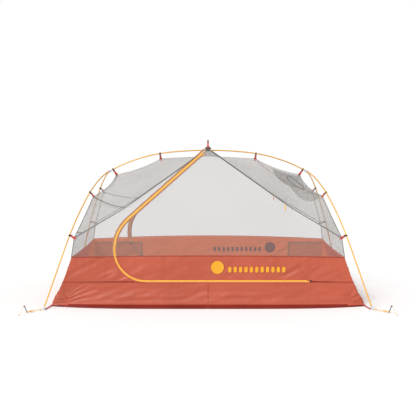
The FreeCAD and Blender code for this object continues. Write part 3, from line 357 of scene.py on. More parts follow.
def join(name, pieces):
    """Several meshes as one piece."""
    vertices, faces, materials, indices, smooth = [], [], [], [], []
    for piece in pieces:
        start = len(vertices)
        vertices += [vertex.co.copy() for vertex in piece.data.vertices]
        for material in piece.data.materials:
            if material not in materials:
                materials.append(material)
        for face in piece.data.polygons:
            faces.append([start + index for index in face.vertices])
            indices.append(materials.index(piece.data.materials[face.material_index]))
            smooth.append(face.use_smooth)
        bpy.data.objects.remove(piece)
    mesh = bpy.data.meshes.new(name)
    mesh.from_pydata(vertices, [], faces)
    for material in materials:
        mesh.materials.append(material)
    mesh.polygons.foreach_set("material_index", indices)
    mesh.polygons.foreach_set("use_smooth", smooth)
    mesh.update()
    return add_object(name, mesh)


def ripple(point, scale, seed=0.0):
    return noise.noise(Vector((point.x * scale + seed, point.y * scale, point.z * scale - seed)))


def fold_blend(piece, side, name):
    """Bake a door piece's transform into its mesh, so that it stays where it is."""
    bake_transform(piece)


def settle(piece, node=None, body="tent", door=None):
    """Hide the CAD node that a piece stands for, if any, and parent the piece to its body.

    A door's (side, name) makes the piece keep its place, baked into its mesh, instead of riding a
    body.
    """
    if door is None:
        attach(piece, body)
    if node is not None:
        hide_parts(node)
    if door is not None:
        fold_blend(piece, *door)


# ---------------------------------------------------------------- materials

COLOUR_STOPS = (0.35, 0.65)
FINE_RELIEF = 0.0002
THREAD_RELIEF = 0.0003
CREASE_RELIEF = 0.006


def add(tree, kind, settings=None, links=None):
    """New shader node, with its sockets set by name and linked from other nodes."""
    node = tree.nodes.new("ShaderNode" + kind)
    put(node, settings or {})
    for socket, output in (links or {}).items():
        tree.links.new(output, node.inputs[socket])
    return node


def put(node, settings):
    for socket, value in settings.items():
        node.inputs[socket].default_value = value


def new_material(name):
    material = bpy.data.materials.new(name)
    material.use_nodes = True
    return material, material.node_tree, material.node_tree.nodes["Principled BSDF"]


def coloured(name, colours, scale):
    """Material that changes softly between two colours over the surface."""
    material, tree, shader = new_material(name)
    place = add(tree, "TexCoord").outputs["Object"]
    cloud = add(tree, "TexNoise", {"Scale": scale, "Detail": 4.0}, {"Vector": place})
    ramp = add(tree, "ValToRGB", links={"Fac": cloud.outputs["Fac"]})
    for element, colour, stop in zip(ramp.color_ramp.elements, colours, COLOUR_STOPS):
        element.color = (*colour, 1)
        element.position = stop
    tree.links.new(ramp.outputs["Color"], shader.inputs["Base Color"])
    return material, tree, shader, place


def bump(tree, shader, height, strength, distance, under=None):
    """Relief in the shading, laid over another relief if there is one."""
    links = {"Height": height}
    if under is not None:
        links["Normal"] = under
    node = add(tree, "Bump", {"Strength": strength, "Distance": distance}, links)
    tree.links.new(node.outputs["Normal"], shader.inputs["Normal"])
    return node.outputs["Normal"]


def weave(tree, shader, place, pitch, strength):
    """Fine over and under of threads in two directions."""
    waves = []
    for direction in ("X", "Z"):
        wave = add(tree, "TexWave", {"Scale": 0.314 / pitch, "Distortion": 0.4}, {"Vector": place})
        wave.bands_direction = direction
        waves.append(wave.outputs["Fac"])
    threads = add(tree, "Math", links=dict(enumerate(waves)))
    threads.operation = "MULTIPLY"
    return bump(tree, shader, threads.outputs[0], strength, THREAD_RELIEF)


def cloth_material(name, colours, pitch, roughness=0.6, sheen=0.2, alpha=1.0, relief=0.25,
                   scale=2.5):
    """Woven cloth, netting or braid; the pitch is the distance between threads."""
    material, tree, shader, place = coloured(name, colours, scale)
    weave(tree, shader, place, pitch, relief)
    put(shader, {"Roughness": roughness, "Sheen Weight": sheen, "Alpha": alpha,
                 "Specular IOR Level": 0.25})
    return material


def tub_material(name, colours, strength=0.22, glow=None):
    """Coated nylon: a soft shine, fine weave, and creases that are finer than the mesh's.

    Light through the cloth is a painted glow, outside too; the rear wall's is strongest inside.
    """
    material, tree, shader, place = coloured(name, colours, 3.0)
    threads = weave(tree, shader, place, 0.0012, 0.2)
    stretch = add(tree, "Mapping", {"Scale": (0.9, 0.9, 4.0)}, {"Vector": place})
    crease = add(tree, "TexNoise", {"Scale": 7.0, "Detail": 3.0},
                 {"Vector": stretch.outputs["Vector"]})
    bump(tree, shader, crease.outputs["Fac"], 0.5, CREASE_RELIEF, threads)
    put(shader, {"Roughness": 0.42, "Specular IOR Level": 0.3, "Emission Strength": strength,
                 "Emission Color": (*(glow or colours[1]), 1)})
    # Painted glow: full strength on faces that look into the tent, 0.08 on the others.
    if glow is not None:
        facing = add(tree, "NewGeometry").outputs["True Normal"]
        axes = add(tree, "SeparateXYZ", links={"Vector": facing})
        inside = add(tree, "Math", {1: 0.0}, {0: axes.outputs["Y"]})
        inside.operation = "LESS_THAN"
        amount = add(tree, "MapRange", {"To Min": 0.08, "To Max": strength},
                     {"Value": inside.outputs[0]})
        tree.links.new(amount.outputs["Result"], shader.inputs["Emission Strength"])
    return material


def metal_material(name, colours, roughness):
    """Anodised or bare metal, drawn along its length."""
    material, tree, shader, place = coloured(name, colours, 6.0)
    grain = add(tree, "TexNoise", {"Scale": 900.0}, {"Vector": place})
    bump(tree, shader, grain.outputs["Fac"], 0.08, FINE_RELIEF)
    put(shader, {"Metallic": 0.25, "Roughness": roughness})
    return material


def plastic_material(name, colours, roughness=0.45):
    """Moulded plastic with a fine grain."""
    material, tree, shader, place = coloured(name, colours, 40.0)
    grain = add(tree, "TexVoronoi", {"Scale": 1500.0}, {"Vector": place})
    bump(tree, shader, grain.outputs["Distance"], 0.12, FINE_RELIEF)
    put(shader, {"Roughness": roughness})
    return material


RED = ((0.375, 0.075, 0.040), (0.435, 0.088, 0.048))
LIT_RED = (0.88, 0.24, 0.055)
NET = {"roughness": 0.8, "sheen": 0.0, "relief": 0.1}
POCKET_NET = {"pitch": 0.002, "roughness": 0.85, "sheen": 0.0, "relief": 0.1}
BRAID = {"roughness": 0.7, "sheen": 0.3, "relief": 0.6}

MATERIALS = {
    # Copies of one red cloth that differ only in painted glow: the ends' copy glows most, the rear's
    # most inside.
    "tub": tub_material("tub_cloth", RED),
    "tub_lit": tub_material("tub_cloth_lit_through", RED, 0.36, LIT_RED),
    "tub_end": tub_material("tub_cloth_of_the_ends", RED, 0.5),
    # Dark maroon painted shade for the floor sheet and the lowest strip of the band.
    "tub_floor": tub_material("tub_floor", ((0.15, 0.012, 0.008), (0.20, 0.020, 0.013))),
    "tub_dark": tub_material("tub_seam", ((0.27, 0.042, 0.026), (0.33, 0.055, 0.034))),
    "door_net": cloth_material("door_netting", ((0.36, 0.335, 0.325), (0.42, 0.395, 0.385)),
                               0.0016, alpha=0.25, **NET),
    "roof_net": cloth_material("roof_netting", ((0.41, 0.40, 0.38), (0.52, 0.51, 0.485)), 0.0012,
                               alpha=0.44, **NET),
    "end_net": cloth_material("end_netting", ((0.38, 0.37, 0.335), (0.44, 0.43, 0.395)), 0.0012,
                              alpha=0.50, **NET),
    "pocket_net": cloth_material("pocket_netting", ((0.13, 0.12, 0.115), (0.17, 0.155, 0.15)),
                                 alpha=0.24, **POCKET_NET),
    "ceiling_net": cloth_material("ceiling_pocket_netting",
                                  ((0.10, 0.097, 0.093), (0.15, 0.145, 0.14)),
                                  alpha=0.62, **POCKET_NET),
    "seam": cloth_material("seam_binding", ((0.12, 0.125, 0.115), (0.17, 0.17, 0.155)), 0.001),
    "pocket_ring": cloth_material("pocket_ring", ((0.16, 0.155, 0.15), (0.21, 0.20, 0.195)),
                                  0.001, alpha=0.8),
    "lip": cloth_material("pocket_lip", ((0.33, 0.20, 0.17), (0.38, 0.24, 0.20)), 0.001),
    "patch": cloth_material("stiff_patch", ((0.035, 0.045, 0.04), (0.06, 0.07, 0.065)), 0.0015),
    "webbing": cloth_material("red_webbing", ((0.50, 0.035, 0.015), (0.58, 0.055, 0.03)), 0.002,
                              sheen=0.3, relief=0.6, scale=60.0),
    "tape": cloth_material("zip_tape", ((0.38, 0.18, 0.11), (0.44, 0.215, 0.135)), 0.0012,
                           roughness=0.75, relief=0.4, scale=60.0),
    "coil": plastic_material("zip_coil", ((0.93, 0.49, 0.05), (1.0, 0.55, 0.08)), 0.4),
    "zip_back": cloth_material("zip_back", ((0.72, 0.30, 0.13), (0.80, 0.36, 0.17)), 0.0012,
                               roughness=0.75, sheen=0.0, relief=0.3, scale=60.0),
    "pull": cloth_material("pull_cord", ((0.90, 0.42, 0.03), (0.98, 0.50, 0.06)), 0.001,
                           scale=90.0, **BRAID),
    "red_pull": cloth_material("red_pull_cord", ((0.42, 0.07, 0.04), (0.50, 0.10, 0.06)), 0.001,
                               scale=90.0, **BRAID),
    "cord": cloth_material("guy_cord", ((0.93, 0.50, 0.06), (1.0, 0.60, 0.12)), 0.0012,
                           scale=120.0, **BRAID),
    "knot": cloth_material("orange_knot", ((0.85, 0.28, 0.07), (0.92, 0.36, 0.10)), 0.0012,
                           scale=120.0, **BRAID),
    "print": cloth_material("yellow_print", ((0.80, 0.35, 0.018), (0.85, 0.40, 0.03)), 0.0012,
                            roughness=0.5, sheen=0.0, relief=0.15),
    "print_back": cloth_material("print_show_through", ((0.22, 0.065, 0.055), (0.26, 0.08, 0.065)),
                                 0.0012),
    "gold": metal_material("gold_anodised", ((0.78, 0.38, 0.012), (0.88, 0.45, 0.02)), 0.36),
    "steel": metal_material("bare_aluminium", ((0.55, 0.55, 0.57), (0.66, 0.66, 0.68)), 0.35),
    "peg": metal_material("peg_aluminium", ((0.16, 0.16, 0.19), (0.24, 0.24, 0.27)), 0.45),
    "black": plastic_material("black_plastic", ((0.012, 0.012, 0.012), (0.03, 0.03, 0.03))),
    "clear": plastic_material("pale_plastic", ((0.62, 0.63, 0.63), (0.72, 0.73, 0.73)), 0.35),
    "elastic": cloth_material("elastic_cord", ((0.80, 0.79, 0.76), (0.87, 0.86, 0.83)), 0.001),
}

TUB_CLOTHS = {FRONT: "tub", REAR: "tub_lit"}

CAD_FINISHES = {
    "gold": ("ridge_middle_section", "ridge_end_sections", "leg_upper_sections",
             "leg_middle_sections", "leg_lower_sections", "cross_pole_halves"),
    "steel": ("pole_ferrules", "foot_tips", "front_zip_slider", "rear_zip_slider"),
    "black": ("ridge_clips", "leg_clips", "cross_saddle", "cross_pole_tips", "zip_end_stops"),
    "clear": ("ridge_hubs", "foot_sockets"),
    "peg": ("peg_front_right", "peg_front_left", "peg_rear_right", "peg_rear_left"),
    "elastic": ("shock_cords",),
}


def finish_cad_nodes():
    """Give each carried-over hard piece its real finish."""
    for key, names in CAD_FINISHES.items():
        for name in names:
            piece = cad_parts[name]
            for place in piece.material_slots:
                place.material = MATERIALS[key]
            if not piece.material_slots:
                piece.data.materials.append(MATERIALS[key])


# ---------------------------------------------------------------- cords, loops and knots

GUY_DIAMETER, GUY_LENGTH = 0.0025, 0.268
PULL_DIAMETER, PULL_LENGTH = 0.002, 0.0826

GUY_ROUTE = [
    Vector((1.1102, -0.8107, 0.0060)),
    Vector((1.1500, -0.8527, 0.0067)),
    Vector((1.1812, -0.8878, 0.0073)),
    Vector((1.1918, -0.9000, 0.0074)),
    Vector((1.2016, -0.9055, 0.0076)),
    Vector((1.1923, -0.9142, 0.0076)),
    Vector((1.1827, -0.9087, 0.0074)),
    Vector((1.1740, -0.8990, 0.0073)),
    Vector((1.1450, -0.8560, 0.0067)),
    Vector((1.1066, -0.8141, 0.0060)),
]

PULL_ROUTE = [
    Vector((1.2085, -0.9390, 0.0450)),
    Vector((1.2130, -0.9480, 0.0390)),
    Vector((1.2155, -0.9570, 0.0270)),
    Vector((1.2195, -0.9640, 0.0135)),
    Vector((1.2225, -0.9735, 0.0040)),
    Vector((1.2235, -0.9865, 0.0014)),
    Vector((1.2290, -0.9990, 0.0014)),
]

SLIP_KNOT_BACK = 0.030
LOOP_REACH, LOOP_HALF_WIDTH = 0.011, 0.0085
TAIL_LENGTH, TAIL_BEND = 0.036, 0.012
LOOSE_CORD_RADIUS = 0.00125


def cord_curve(name, route, diameter):
    """Smooth round cord along its route's points."""
    data = bpy.data.curves.new(name, "CURVE")
    data.dimensions = "3D"
    spline = data.splines.new("NURBS")
    spline.points.add(len(route) - 1)
    for point, place in zip(spline.points, route):
        point.co = (*place, 1)
    spline.order_u = 3
    spline.use_endpoint_u = True
    spline.resolution_u = 12
    data.bevel_depth = diameter / 2
    data.bevel_resolution = 4
    data.use_fill_caps = True
    data.materials.append(MATERIALS["cord"])
    return add_object(name, data)


def tube(name, points, radius, material, closed=False, sides=10):
    """Round tube of a short loop or knot, along points."""
    rings = []
    count = len(points)
    across = None
    for number, point in enumerate(points):
        before = points[number - 1] if number or closed else point
        after = points[(number + 1) % count] if number < count - 1 or closed else point
        along = (after - before).normalized()
        if across is None:
            across = along.orthogonal().normalized()
        across = (across - along * across.dot(along)).normalized()
        rings.append(circle(sides, point, across * radius, along.cross(across) * radius))
    return skin(name, rings, MATERIALS[material], closed)


def knot(name, centre, size, radius, material="cord"):
    """Three-lobed knot of cord."""
    points = []
    for number in range(60):
        turn = 2 * math.pi * number / 60
        points.append(centre + Vector((math.sin(turn) + 2 * math.sin(2 * turn),
                                       math.cos(turn) - 2 * math.cos(2 * turn),
                                       -1.4 * math.sin(3 * turn))) * (size / 3))
    return tube(name, points, radius, material, closed=True)


def guy_loops(corner, route):
    """Slip knot near the peg, with the small loop and the tail that stand off it."""
    along = (route[2] - route[0]).normalized()
    across = along.cross(UP)
    place = (route[2] + route[6]) / 2 - along * SLIP_KNOT_BACK + UP * 0.0015
    loop = circle(32, place + along * LOOP_REACH + UP * 0.002, -along * LOOP_REACH,
                  across * LOOP_HALF_WIDTH, ends=True)
    tail = along_curve(lambda part: place + along * (TAIL_LENGTH * part)
                       - across * (0.010 + TAIL_BEND * part * part) - UP * (0.003 * part), 16)
    return join("guy_loops_" + corner, [knot("slip", place, 0.0055, 0.0014),
                                        tube("loop", loop, LOOSE_CORD_RADIUS, "cord"),
                                        tube("tail", tail, LOOSE_CORD_RADIUS, "cord")])


def cords():
    """Taut cord from each pole foot round its peg, and each peg's pull cord."""
    for x_side, y_side in CORNERS:
        corner = dict(SIDES)[y_side] + ("_right" if x_side == RIGHT else "_left")
        route = [flip(point, x_side, y_side) for point in GUY_ROUTE]
        guy = cord_curve("guy_cord_%s_line" % corner, route, GUY_DIAMETER)
        settle(guy, "guy_cord_" + corner)
        middle = lerp(route[0], route[-1], 0.5)
        start = middle + (route[4] - route[0]).normalized() * 0.016 + UP * 0.0015
        binding = knot("guy_knot_" + corner, start, 0.0050, 0.0014, "knot")
        loops = guy_loops(corner, route)
        settle(binding)
        settle(loops)
        route = [flip(point, x_side, y_side) for point in PULL_ROUTE]
        pull = cord_curve("peg_pull_cord_%s_line" % corner, route, PULL_DIAMETER)
        settle(pull, "peg_pull_cord_" + corner, body="peg_" + corner)
        end = knot("pull_knot_" + corner, route[-1] + UP * 0.0018, 0.0036, 0.0010)
        settle(end, body="peg_" + corner)


# ---------------------------------------------------------------- netting walls and doors

WALL_SAG, DOOR_SAG = 0.004, 0.006
RIPPLE_DEPTH = 0.003
TUB_THICKNESS = 0.0006
PEAK_POINT = line(on_wall(PEAK), on_wall(PEAK))


def sag(depth):
    """Netting that hangs in a little between its edges, with slight ripples."""
    return lambda across, down, point: hump(across, down) * (
        depth + RIPPLE_DEPTH * ripple(point, 9.0))


def wall_netting():
    """Netting beside each door, from the diagonal seams down to the tub."""
    diagonal = (wall_line(PEAK, KNEE), wall_line(KNEE, LOWER_CLIP),
                wall_line(LOWER_CLIP, TUB_CORNER))
    right_side = joined(*diagonal)
    left_side = joined(*(mirrored(curve, LEFT, FRONT) for curve in diagonal))
    for side, name in SIDES:
        crossing, fold = tub_crossing(side), fold_top(side)
        left = coons(PEAK_POINT, tub_top(-TUB_CORNER.x, zip_point(crossing).x, side), left_side,
                     zip_stretch(0, crossing))
        right = coons(PEAK_POINT, tub_top(fold.x, TUB_CORNER.x, side), wall_line(PEAK, fold),
                      right_side)
        surfaces = [mirrored(surface, RIGHT, side) for surface in (left, right)]
        piece = netting(name + "_mesh_wall_netting", surfaces, 30, 48, "door_net", sag(WALL_SAG))
        settle(piece, name + "_mesh_wall")


def doors():
    """Netting and sill of each door."""
    for door in SIDES:
        side, name = door
        crossing, fold = tub_crossing(side), fold_top(side)
        top = tub_top(zip_point(crossing).x, fold.x, side)
        net = coons(PEAK_POINT, top, zip_stretch(0, crossing), wall_line(PEAK, fold))
        sill = coons(top, wall_line(zip_point(ARC_END), HINGE_FOOT),
                     zip_stretch(crossing, ARC_END), wall_line(fold, HINGE_FOOT))
        piece = netting(name + "_door_netting", [mirrored(net, RIGHT, side)], 60, 60, "door_net",
                        sag(DOOR_SAG))
        settle(piece, name + "_door_mesh", door=door)
        piece = panel(name + "_door_sill_cloth", [mirrored(sill, RIGHT, side)], 150, 24,
                      TUB_CLOTHS[side], upper_band_relief(side, fade_last=False), TUB_THICKNESS)
        settle(piece, name + "_door_sill", door=door)


# ---------------------------------------------------------------- the tub

FLOOR_LIFT = 0.0045
FLOOR_THICKNESS = 0.0008
# Share of the band's height, from the ground, that is painted dark maroon shade.
SHADE_STRIP_SHARE = 0.07
BAND_BULGE = 0.030
# How far the band's foot and the floor's hem reach out in front and behind; the dark hem is a painted
# contact shadow.
FOOT_FLARE = 0.075
FOOT_HEIGHT = 0.12
BEND_ACROSS, BEND_SPREAD = 0.66, 0.20
FAN_REACH = 0.20


def upper_band_relief(side, fade_first=True, fade_last=True):
    """Folds that lean across the band, deepest beside the zip's bend, and short ripples.

    They fade out towards an end that is sewn to a seam.
    """
    def relief(across, down, point):
        edge = hump(down) ** 0.7
        edge *= min(1.0, 14 * across) if fade_first else 1.0
        edge *= min(1.0, 14 * (1 - across)) if fade_last else 1.0
        beside_bend = math.exp(-((abs(point.x) - BEND_ACROSS) / BEND_SPREAD) ** 2)
        rising = point.x * 0.45 - point.z * 0.9
        along = point.x * 0.9 + point.z * 0.45
        fold = noise.noise(Vector((rising * 30, along * 5, 3.0 * side)))
        pucker = noise.noise(Vector((point.x * 26, point.z * 7, 8.0))) * (1 - down) ** 2
        return side * edge * (0.0042 * fold + 0.0095 * fold * beside_bend + 0.0075 * pucker
                              + 0.0016 * ripple(point, 42, 2.0))
    return relief


def corner_line(sign):
    """Down the corner of the upper band, on the right or the left."""
    def at(part):
        height = lerp(TUB_HEIGHT, BAND_HEIGHT, part)
        return on_wall((sign * tub_edge(height), height))
    return at


def tub_walls():
    """Upper band of the tub beside the doors and on the two ends."""
    arc_end = zip_point(ARC_END)
    low_left = Vector((arc_end.x, BAND_HEIGHT))
    low_right = Vector((HINGE_FOOT.x, BAND_HEIGHT))
    strip_under_zip = coons(wall_line(arc_end, HINGE_FOOT), wall_line(low_left, low_right),
                            wall_line(arc_end, low_left), wall_line(HINGE_FOOT, low_right))
    for side, name in SIDES:
        crossing, fold = tub_crossing(side), fold_top(side)
        left = coons(tub_top(-TUB_CORNER.x, zip_point(crossing).x, side),
                     wall_line(Vector((-BAND_CORNER.x, BAND_HEIGHT)), low_left),
                     corner_line(LEFT), zip_stretch(crossing, ARC_END))
        right = coons(tub_top(fold.x, TUB_CORNER.x, side), wall_line(low_right, BAND_CORNER),
                      wall_line(fold, HINGE_FOOT), corner_line(RIGHT))
        parts = [panel("part", [mirrored(surface, RIGHT, side)], columns, rows, TUB_CLOTHS[side],
                       relief)
                 for surface, columns, rows, relief in (
                     (left, 60, 24, upper_band_relief(side)),
                     (right, 70, 24, upper_band_relief(side, fade_first=False)),
                     (strip_under_zip, 60, 2, None))]
        piece = thicken(join("tub_%s_wall_cloth" % name, parts), TUB_THICKNESS)
        settle(piece, "tub_%s_wall" % name)
    ends = [mirrored(end_band, x_side, FRONT) for x_side in (RIGHT, LEFT)]
    piece = panel("tub_end_walls_cloth", ends, 90, 18, "tub_end", upper_band_relief(1),
                  TUB_THICKNESS)
    settle(piece, "tub_end_walls")


def end_point(along, height):
    """Point on the right end of the tub: along runs from -1 at the front to 1 at the rear."""
    half = FLOOR_HALF_WIDTH - SIDE_LEAN * height
    return Vector((tub_edge(height) - END_DRAW_IN * (1 - along ** 2) * (height / TUB_HEIGHT),
                   half * along, height))


def end_band(across, down):
    return end_point(2 * across - 1, lerp(TUB_HEIGHT, BAND_HEIGHT, down))


def band_point(run, up):
    """Point of the lower band: run goes round the floor, 0 to 4, one for each side."""
    height = lerp(FLOOR_LIFT, BAND_HEIGHT, up)
    side = int(run) % 4
    along = 2 * (run - int(run)) - 1
    slack = 1 - abs(along) ** 5
    foot = max(0.0, 1 - up / FOOT_HEIGHT)
    bulge = slack * (1 - up) ** 3 * BAND_BULGE
    half_width = FLOOR_HALF_WIDTH - SIDE_LEAN * height + bulge
    half_width += (1 - along ** 4) * foot ** 2 * FOOT_FLARE
    height -= slack * FLOOR_LIFT * 0.5 * foot
    if side % 2 == 0:
        point = Vector((along * tub_edge(height), -half_width, height))
    else:
        point = end_point(along, height) + Vector((bulge * 0.5, 0, 0))
    return point if side < 2 else Vector((-point.x, -point.y, point.z))


def band_relief(point, run, up):
    """Gathers that fan out of each lower corner, and long creases along the bottom."""
    half = FLOOR_HALF_LENGTH if int(run) % 2 == 0 else FLOOR_HALF_WIDTH
    across = abs(run - round(run)) * 2 * half
    reach = math.hypot(across, point.z)
    angle = math.atan2(point.z + 0.008, across + 0.004)
    fan = (math.sin(angle * 36 + 2.5 * noise.noise(point * 6))
           * math.exp(-((reach / FAN_REACH) ** 2)) * min(1.0, across / 0.02))
    crease = noise.noise(Vector((point.x * 2.2, point.y * 2.2, point.z * 38)))
    slant = noise.noise(Vector((point.x * 9 - point.z * 22, point.y * 9, point.z * 14 + 4)))
    window = hump(min(1.0, max(0.0, up))) ** 0.6
    return window * (0.0085 * fan + 0.0060 * crease * (1 - up) + 0.0040 * slant
                     + 0.0016 * ripple(point, 34, 5.0))


def floor_point(across, deep):
    """Point of the floor sheet, which reaches the band's foot; both parts run from -1 to 1."""
    x = across * (tub_edge(FLOOR_LIFT) + (1 - abs(deep) ** 5) * BAND_BULGE * 0.5)
    y = deep * (FLOOR_HALF_WIDTH + (1 - abs(across) ** 5) * BAND_BULGE
                + (1 - across ** 4) * FOOT_FLARE)
    inside = (1 - across ** 4) * (1 - deep ** 4)
    return Vector((x, y, 0.0022 + inside * (0.0020 + 0.004 * (0.5 + ripple(Vector((x, y, 0)),
                                                                          4.0)))))


def lower_band():
    """Floor cloth turned up round the tent, and the floor itself; the floor and the band's foot are
    painted shade.
    """
    per_side, rows = 150, 26
    columns = 4 * per_side
    points = []
    for row in range(rows + 1):
        for column in range(columns):
            run, up = column / per_side, row / rows
            point = band_point(run, up)
            outward = ((0, -1), (1, 0), (0, 1), (-1, 0))[int(run) % 4]
            points.append(point + Vector((*outward, 0.2)) * band_relief(point, run, up))
    floor_columns, floor_rows = 64, 40
    faces = ring_faces(rows + 1, columns) + grid_faces(floor_columns, floor_rows, len(points))
    points += grid_points(lambda across, down: floor_point(2 * across - 1, 2 * down - 1),
                          floor_columns, floor_rows)
    piece = make_mesh("floor_tub_cloth", points, faces, MATERIALS["tub"])
    piece.data.materials.append(MATERIALS["tub_floor"])
    # Painted shade: the whole floor sheet and the band's lowest strip take the dark maroon cloth.
    for face in piece.data.polygons:
        row, column = divmod(face.index, columns)
        along = abs(2 * ((column + 0.5) / per_side % 1) - 1)
        if row >= rows or (row + 0.5) / rows < SHADE_STRIP_SHARE * (1 - along ** 16):
            face.material_index = 1
    thicken(weld(piece), FLOOR_THICKNESS)
    settle(piece, "floor_tub")


# ---------------------------------------------------------------- roof and ends

RIDGE = joined(line(RIDGE_CENTRE, RIDGE_CLIP), bowed(RIDGE_CLIP, RIDGE_EDGE, HUB_CLIP))
LEG_CURVES = (bowed(HUB_CLIP, UPPER_EDGE, UPPER_CLIP),
              bowed(UPPER_CLIP, LOWER_EDGE, on_wall(LOWER_CLIP)))
LEG = joined(*LEG_CURVES)
DIAGONAL = joined(wall_line(PEAK, KNEE), wall_line(KNEE, LOWER_CLIP))
SIDE_DROP = wall_line(LOWER_CLIP, TUB_CORNER)
ROOF = coons(RIDGE, DIAGONAL, line(RIDGE_CENTRE, on_wall(PEAK)), LEG)
ROOF_COLUMNS, ROOF_ROWS = 44, 36
ROOF_SAG, PLEAT_DEPTH = 0.010, 0.0025
PULL_ROOM = 0.044
END_EDGE = joined(*LEG_CURVES, SIDE_DROP)
END_EDGE_LAST = 2 / 3


def roof_relief(across, down, point):
    """Taut cloth with faint pleats that run between the points where it is held."""
    pleat = math.sin(34 * (across + 0.35 * down)) * math.exp(-((1 - across) / 0.35) ** 2)
    return hump(across, down) * (ROOF_SAG + PLEAT_DEPTH * pleat
                                 + RIPPLE_DEPTH * ripple(point, 7.0))


def roof_point(place, lift):
    """Point above the finished cloth of the roof, at its (across, down)."""
    point = ROOF(place.x, place.y)
    return point + UP * (lift - roof_relief(place.x, place.y, point))


def roof():
    """Roof panels on both sides of the ridge, and the netting of the two ends."""
    for side, name in SIDES:
        surfaces = [mirrored(ROOF, x_side, side) for x_side in (RIGHT, LEFT)]
        piece = netting(name + "_roof_panels_cloth", surfaces, ROOF_COLUMNS, ROOF_ROWS, "roof_net")
        shape_inwards(piece)
        clear_round_slider(piece, name)
        settle(piece, name + "_roof_panels")
    ends = [mirrored(end_surface, x_side, FRONT) for x_side in (RIGHT, LEFT)]
    piece = netting("end_mesh_walls_cloth", ends, 40, 44, "end_net", sag(WALL_SAG))
    settle(piece, "end_mesh_walls")


def quarter_key(point):
    return round(abs(point.x), 4), round(abs(point.y), 4), round(point.z, 4)


def shape_inwards(piece):
    """Press the cloth of the roof inwards by the relief at each point's place."""
    places = {}
    for row in range(ROOF_ROWS + 1):
        for column in range(ROOF_COLUMNS + 1):
            place = column / ROOF_COLUMNS, row / ROOF_ROWS
            places[quarter_key(ROOF(*place))] = place
    for vertex in piece.data.vertices:
        place = places.get(quarter_key(vertex.co))
        if place is not None:
            vertex.co.z -= roof_relief(*place, vertex.co)


def clear_round_slider(piece, name):
    """Leave out the corner of the left panel that the parked slider's pulls swing through."""
    low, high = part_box(name + "_zip_slider")
    middle = (low + high) / 2
    cloth = bmesh.new()
    cloth.from_mesh(piece.data)
    near = [face for face in cloth.faces
            if (face.calc_center_median() - middle).length < PULL_ROOM]
    bmesh.ops.delete(cloth, geom=near, context="FACES")
    cloth.to_mesh(piece.data)
    cloth.free()


def end_surface(across, down):
    """Netting of the right end, from its front edge across to its rear edge."""
    near = END_EDGE(down)
    point = lerp(near, flip(near, 1, -1), across)
    if down <= END_EDGE_LAST:
        return point
    return lerp(point, end_point(2 * across - 1, TUB_HEIGHT), ((down - END_EDGE_LAST) * 3) ** 2)


# ---------------------------------------------------------------- strips: seams, tapes, webbing

SEAM_THICKNESS = 0.0012


def strip(name, points, normals, width, thickness, material):
    """Flat band of a width and thickness along points, lying on the side of the normals."""
    rings = []
    count = len(points)
    for number, (point, normal) in enumerate(zip(points, normals)):
        before, after = points[max(0, number - 1)], points[min(count - 1, number + 1)]
        along = (after - before).normalized()
        sideways = along.cross(normal).normalized()
        lift = sideways.cross(along).normalized()
        half = width[number] / 2 if isinstance(width, list) else width / 2
        rings.append([point + sideways * (side * half) + lift * (height * thickness)
                      for side, height in ((-1, -0.5), (1, -0.5), (1, 0.5), (-1, 0.5))])
    return skin(name, rings, MATERIALS[material], smooth=False)


def seam_strip(curve, normal, width, x_side, y_side, material="seam", name="seam"):
    """Binding along a curve of the front right quarter, laid in another quarter."""
    lift = flip(normal, x_side, y_side).normalized()
    points = [flip(point, x_side, y_side) + lift * SEAM_THICKNESS for point in along_curve(curve, 40)]
    return strip(name, points, [lift] * len(points), width, SEAM_THICKNESS, material)


def seams():
    """Bound seams: diagonals, ridge, leg edges and curved roof seams."""
    knee_seam = bowed(UPPER_CLIP, KNEE_SEAM, on_wall(KNEE))
    pieces = []
    for x_side in (RIGHT, LEFT):
        for y_side in (FRONT, REAR):
            for curve, normal, width in ((DIAGONAL, WALL_OUT, 0.0065),
                                         (SIDE_DROP, WALL_OUT, 0.005),
                                         (LEG, Vector((0.5, -0.5, 0.7)), 0.006)):
                pieces.append(seam_strip(curve, normal, width, x_side, y_side))
            if x_side == LEFT:
                pieces.append(seam_strip(knee_seam, Vector((0.3, -0.5, 0.8)), 0.006, LEFT, y_side))
        pieces.append(seam_strip(RIDGE, Vector((0.2, 0, 1)), 0.006, x_side, FRONT))
    pieces.append(seam_strip(pocket_lip, Vector((0.2, -0.4, 0.9)), 0.004, RIGHT, FRONT, "lip"))
    near_clip = line(on_wall(lerp(LOWER_CLIP, KNEE, 0.16)), LEG(0.93))
    pieces.append(seam_strip(near_clip, WALL_OUT, 0.006, LEFT, FRONT))
    settle(join("netting_seams", pieces))


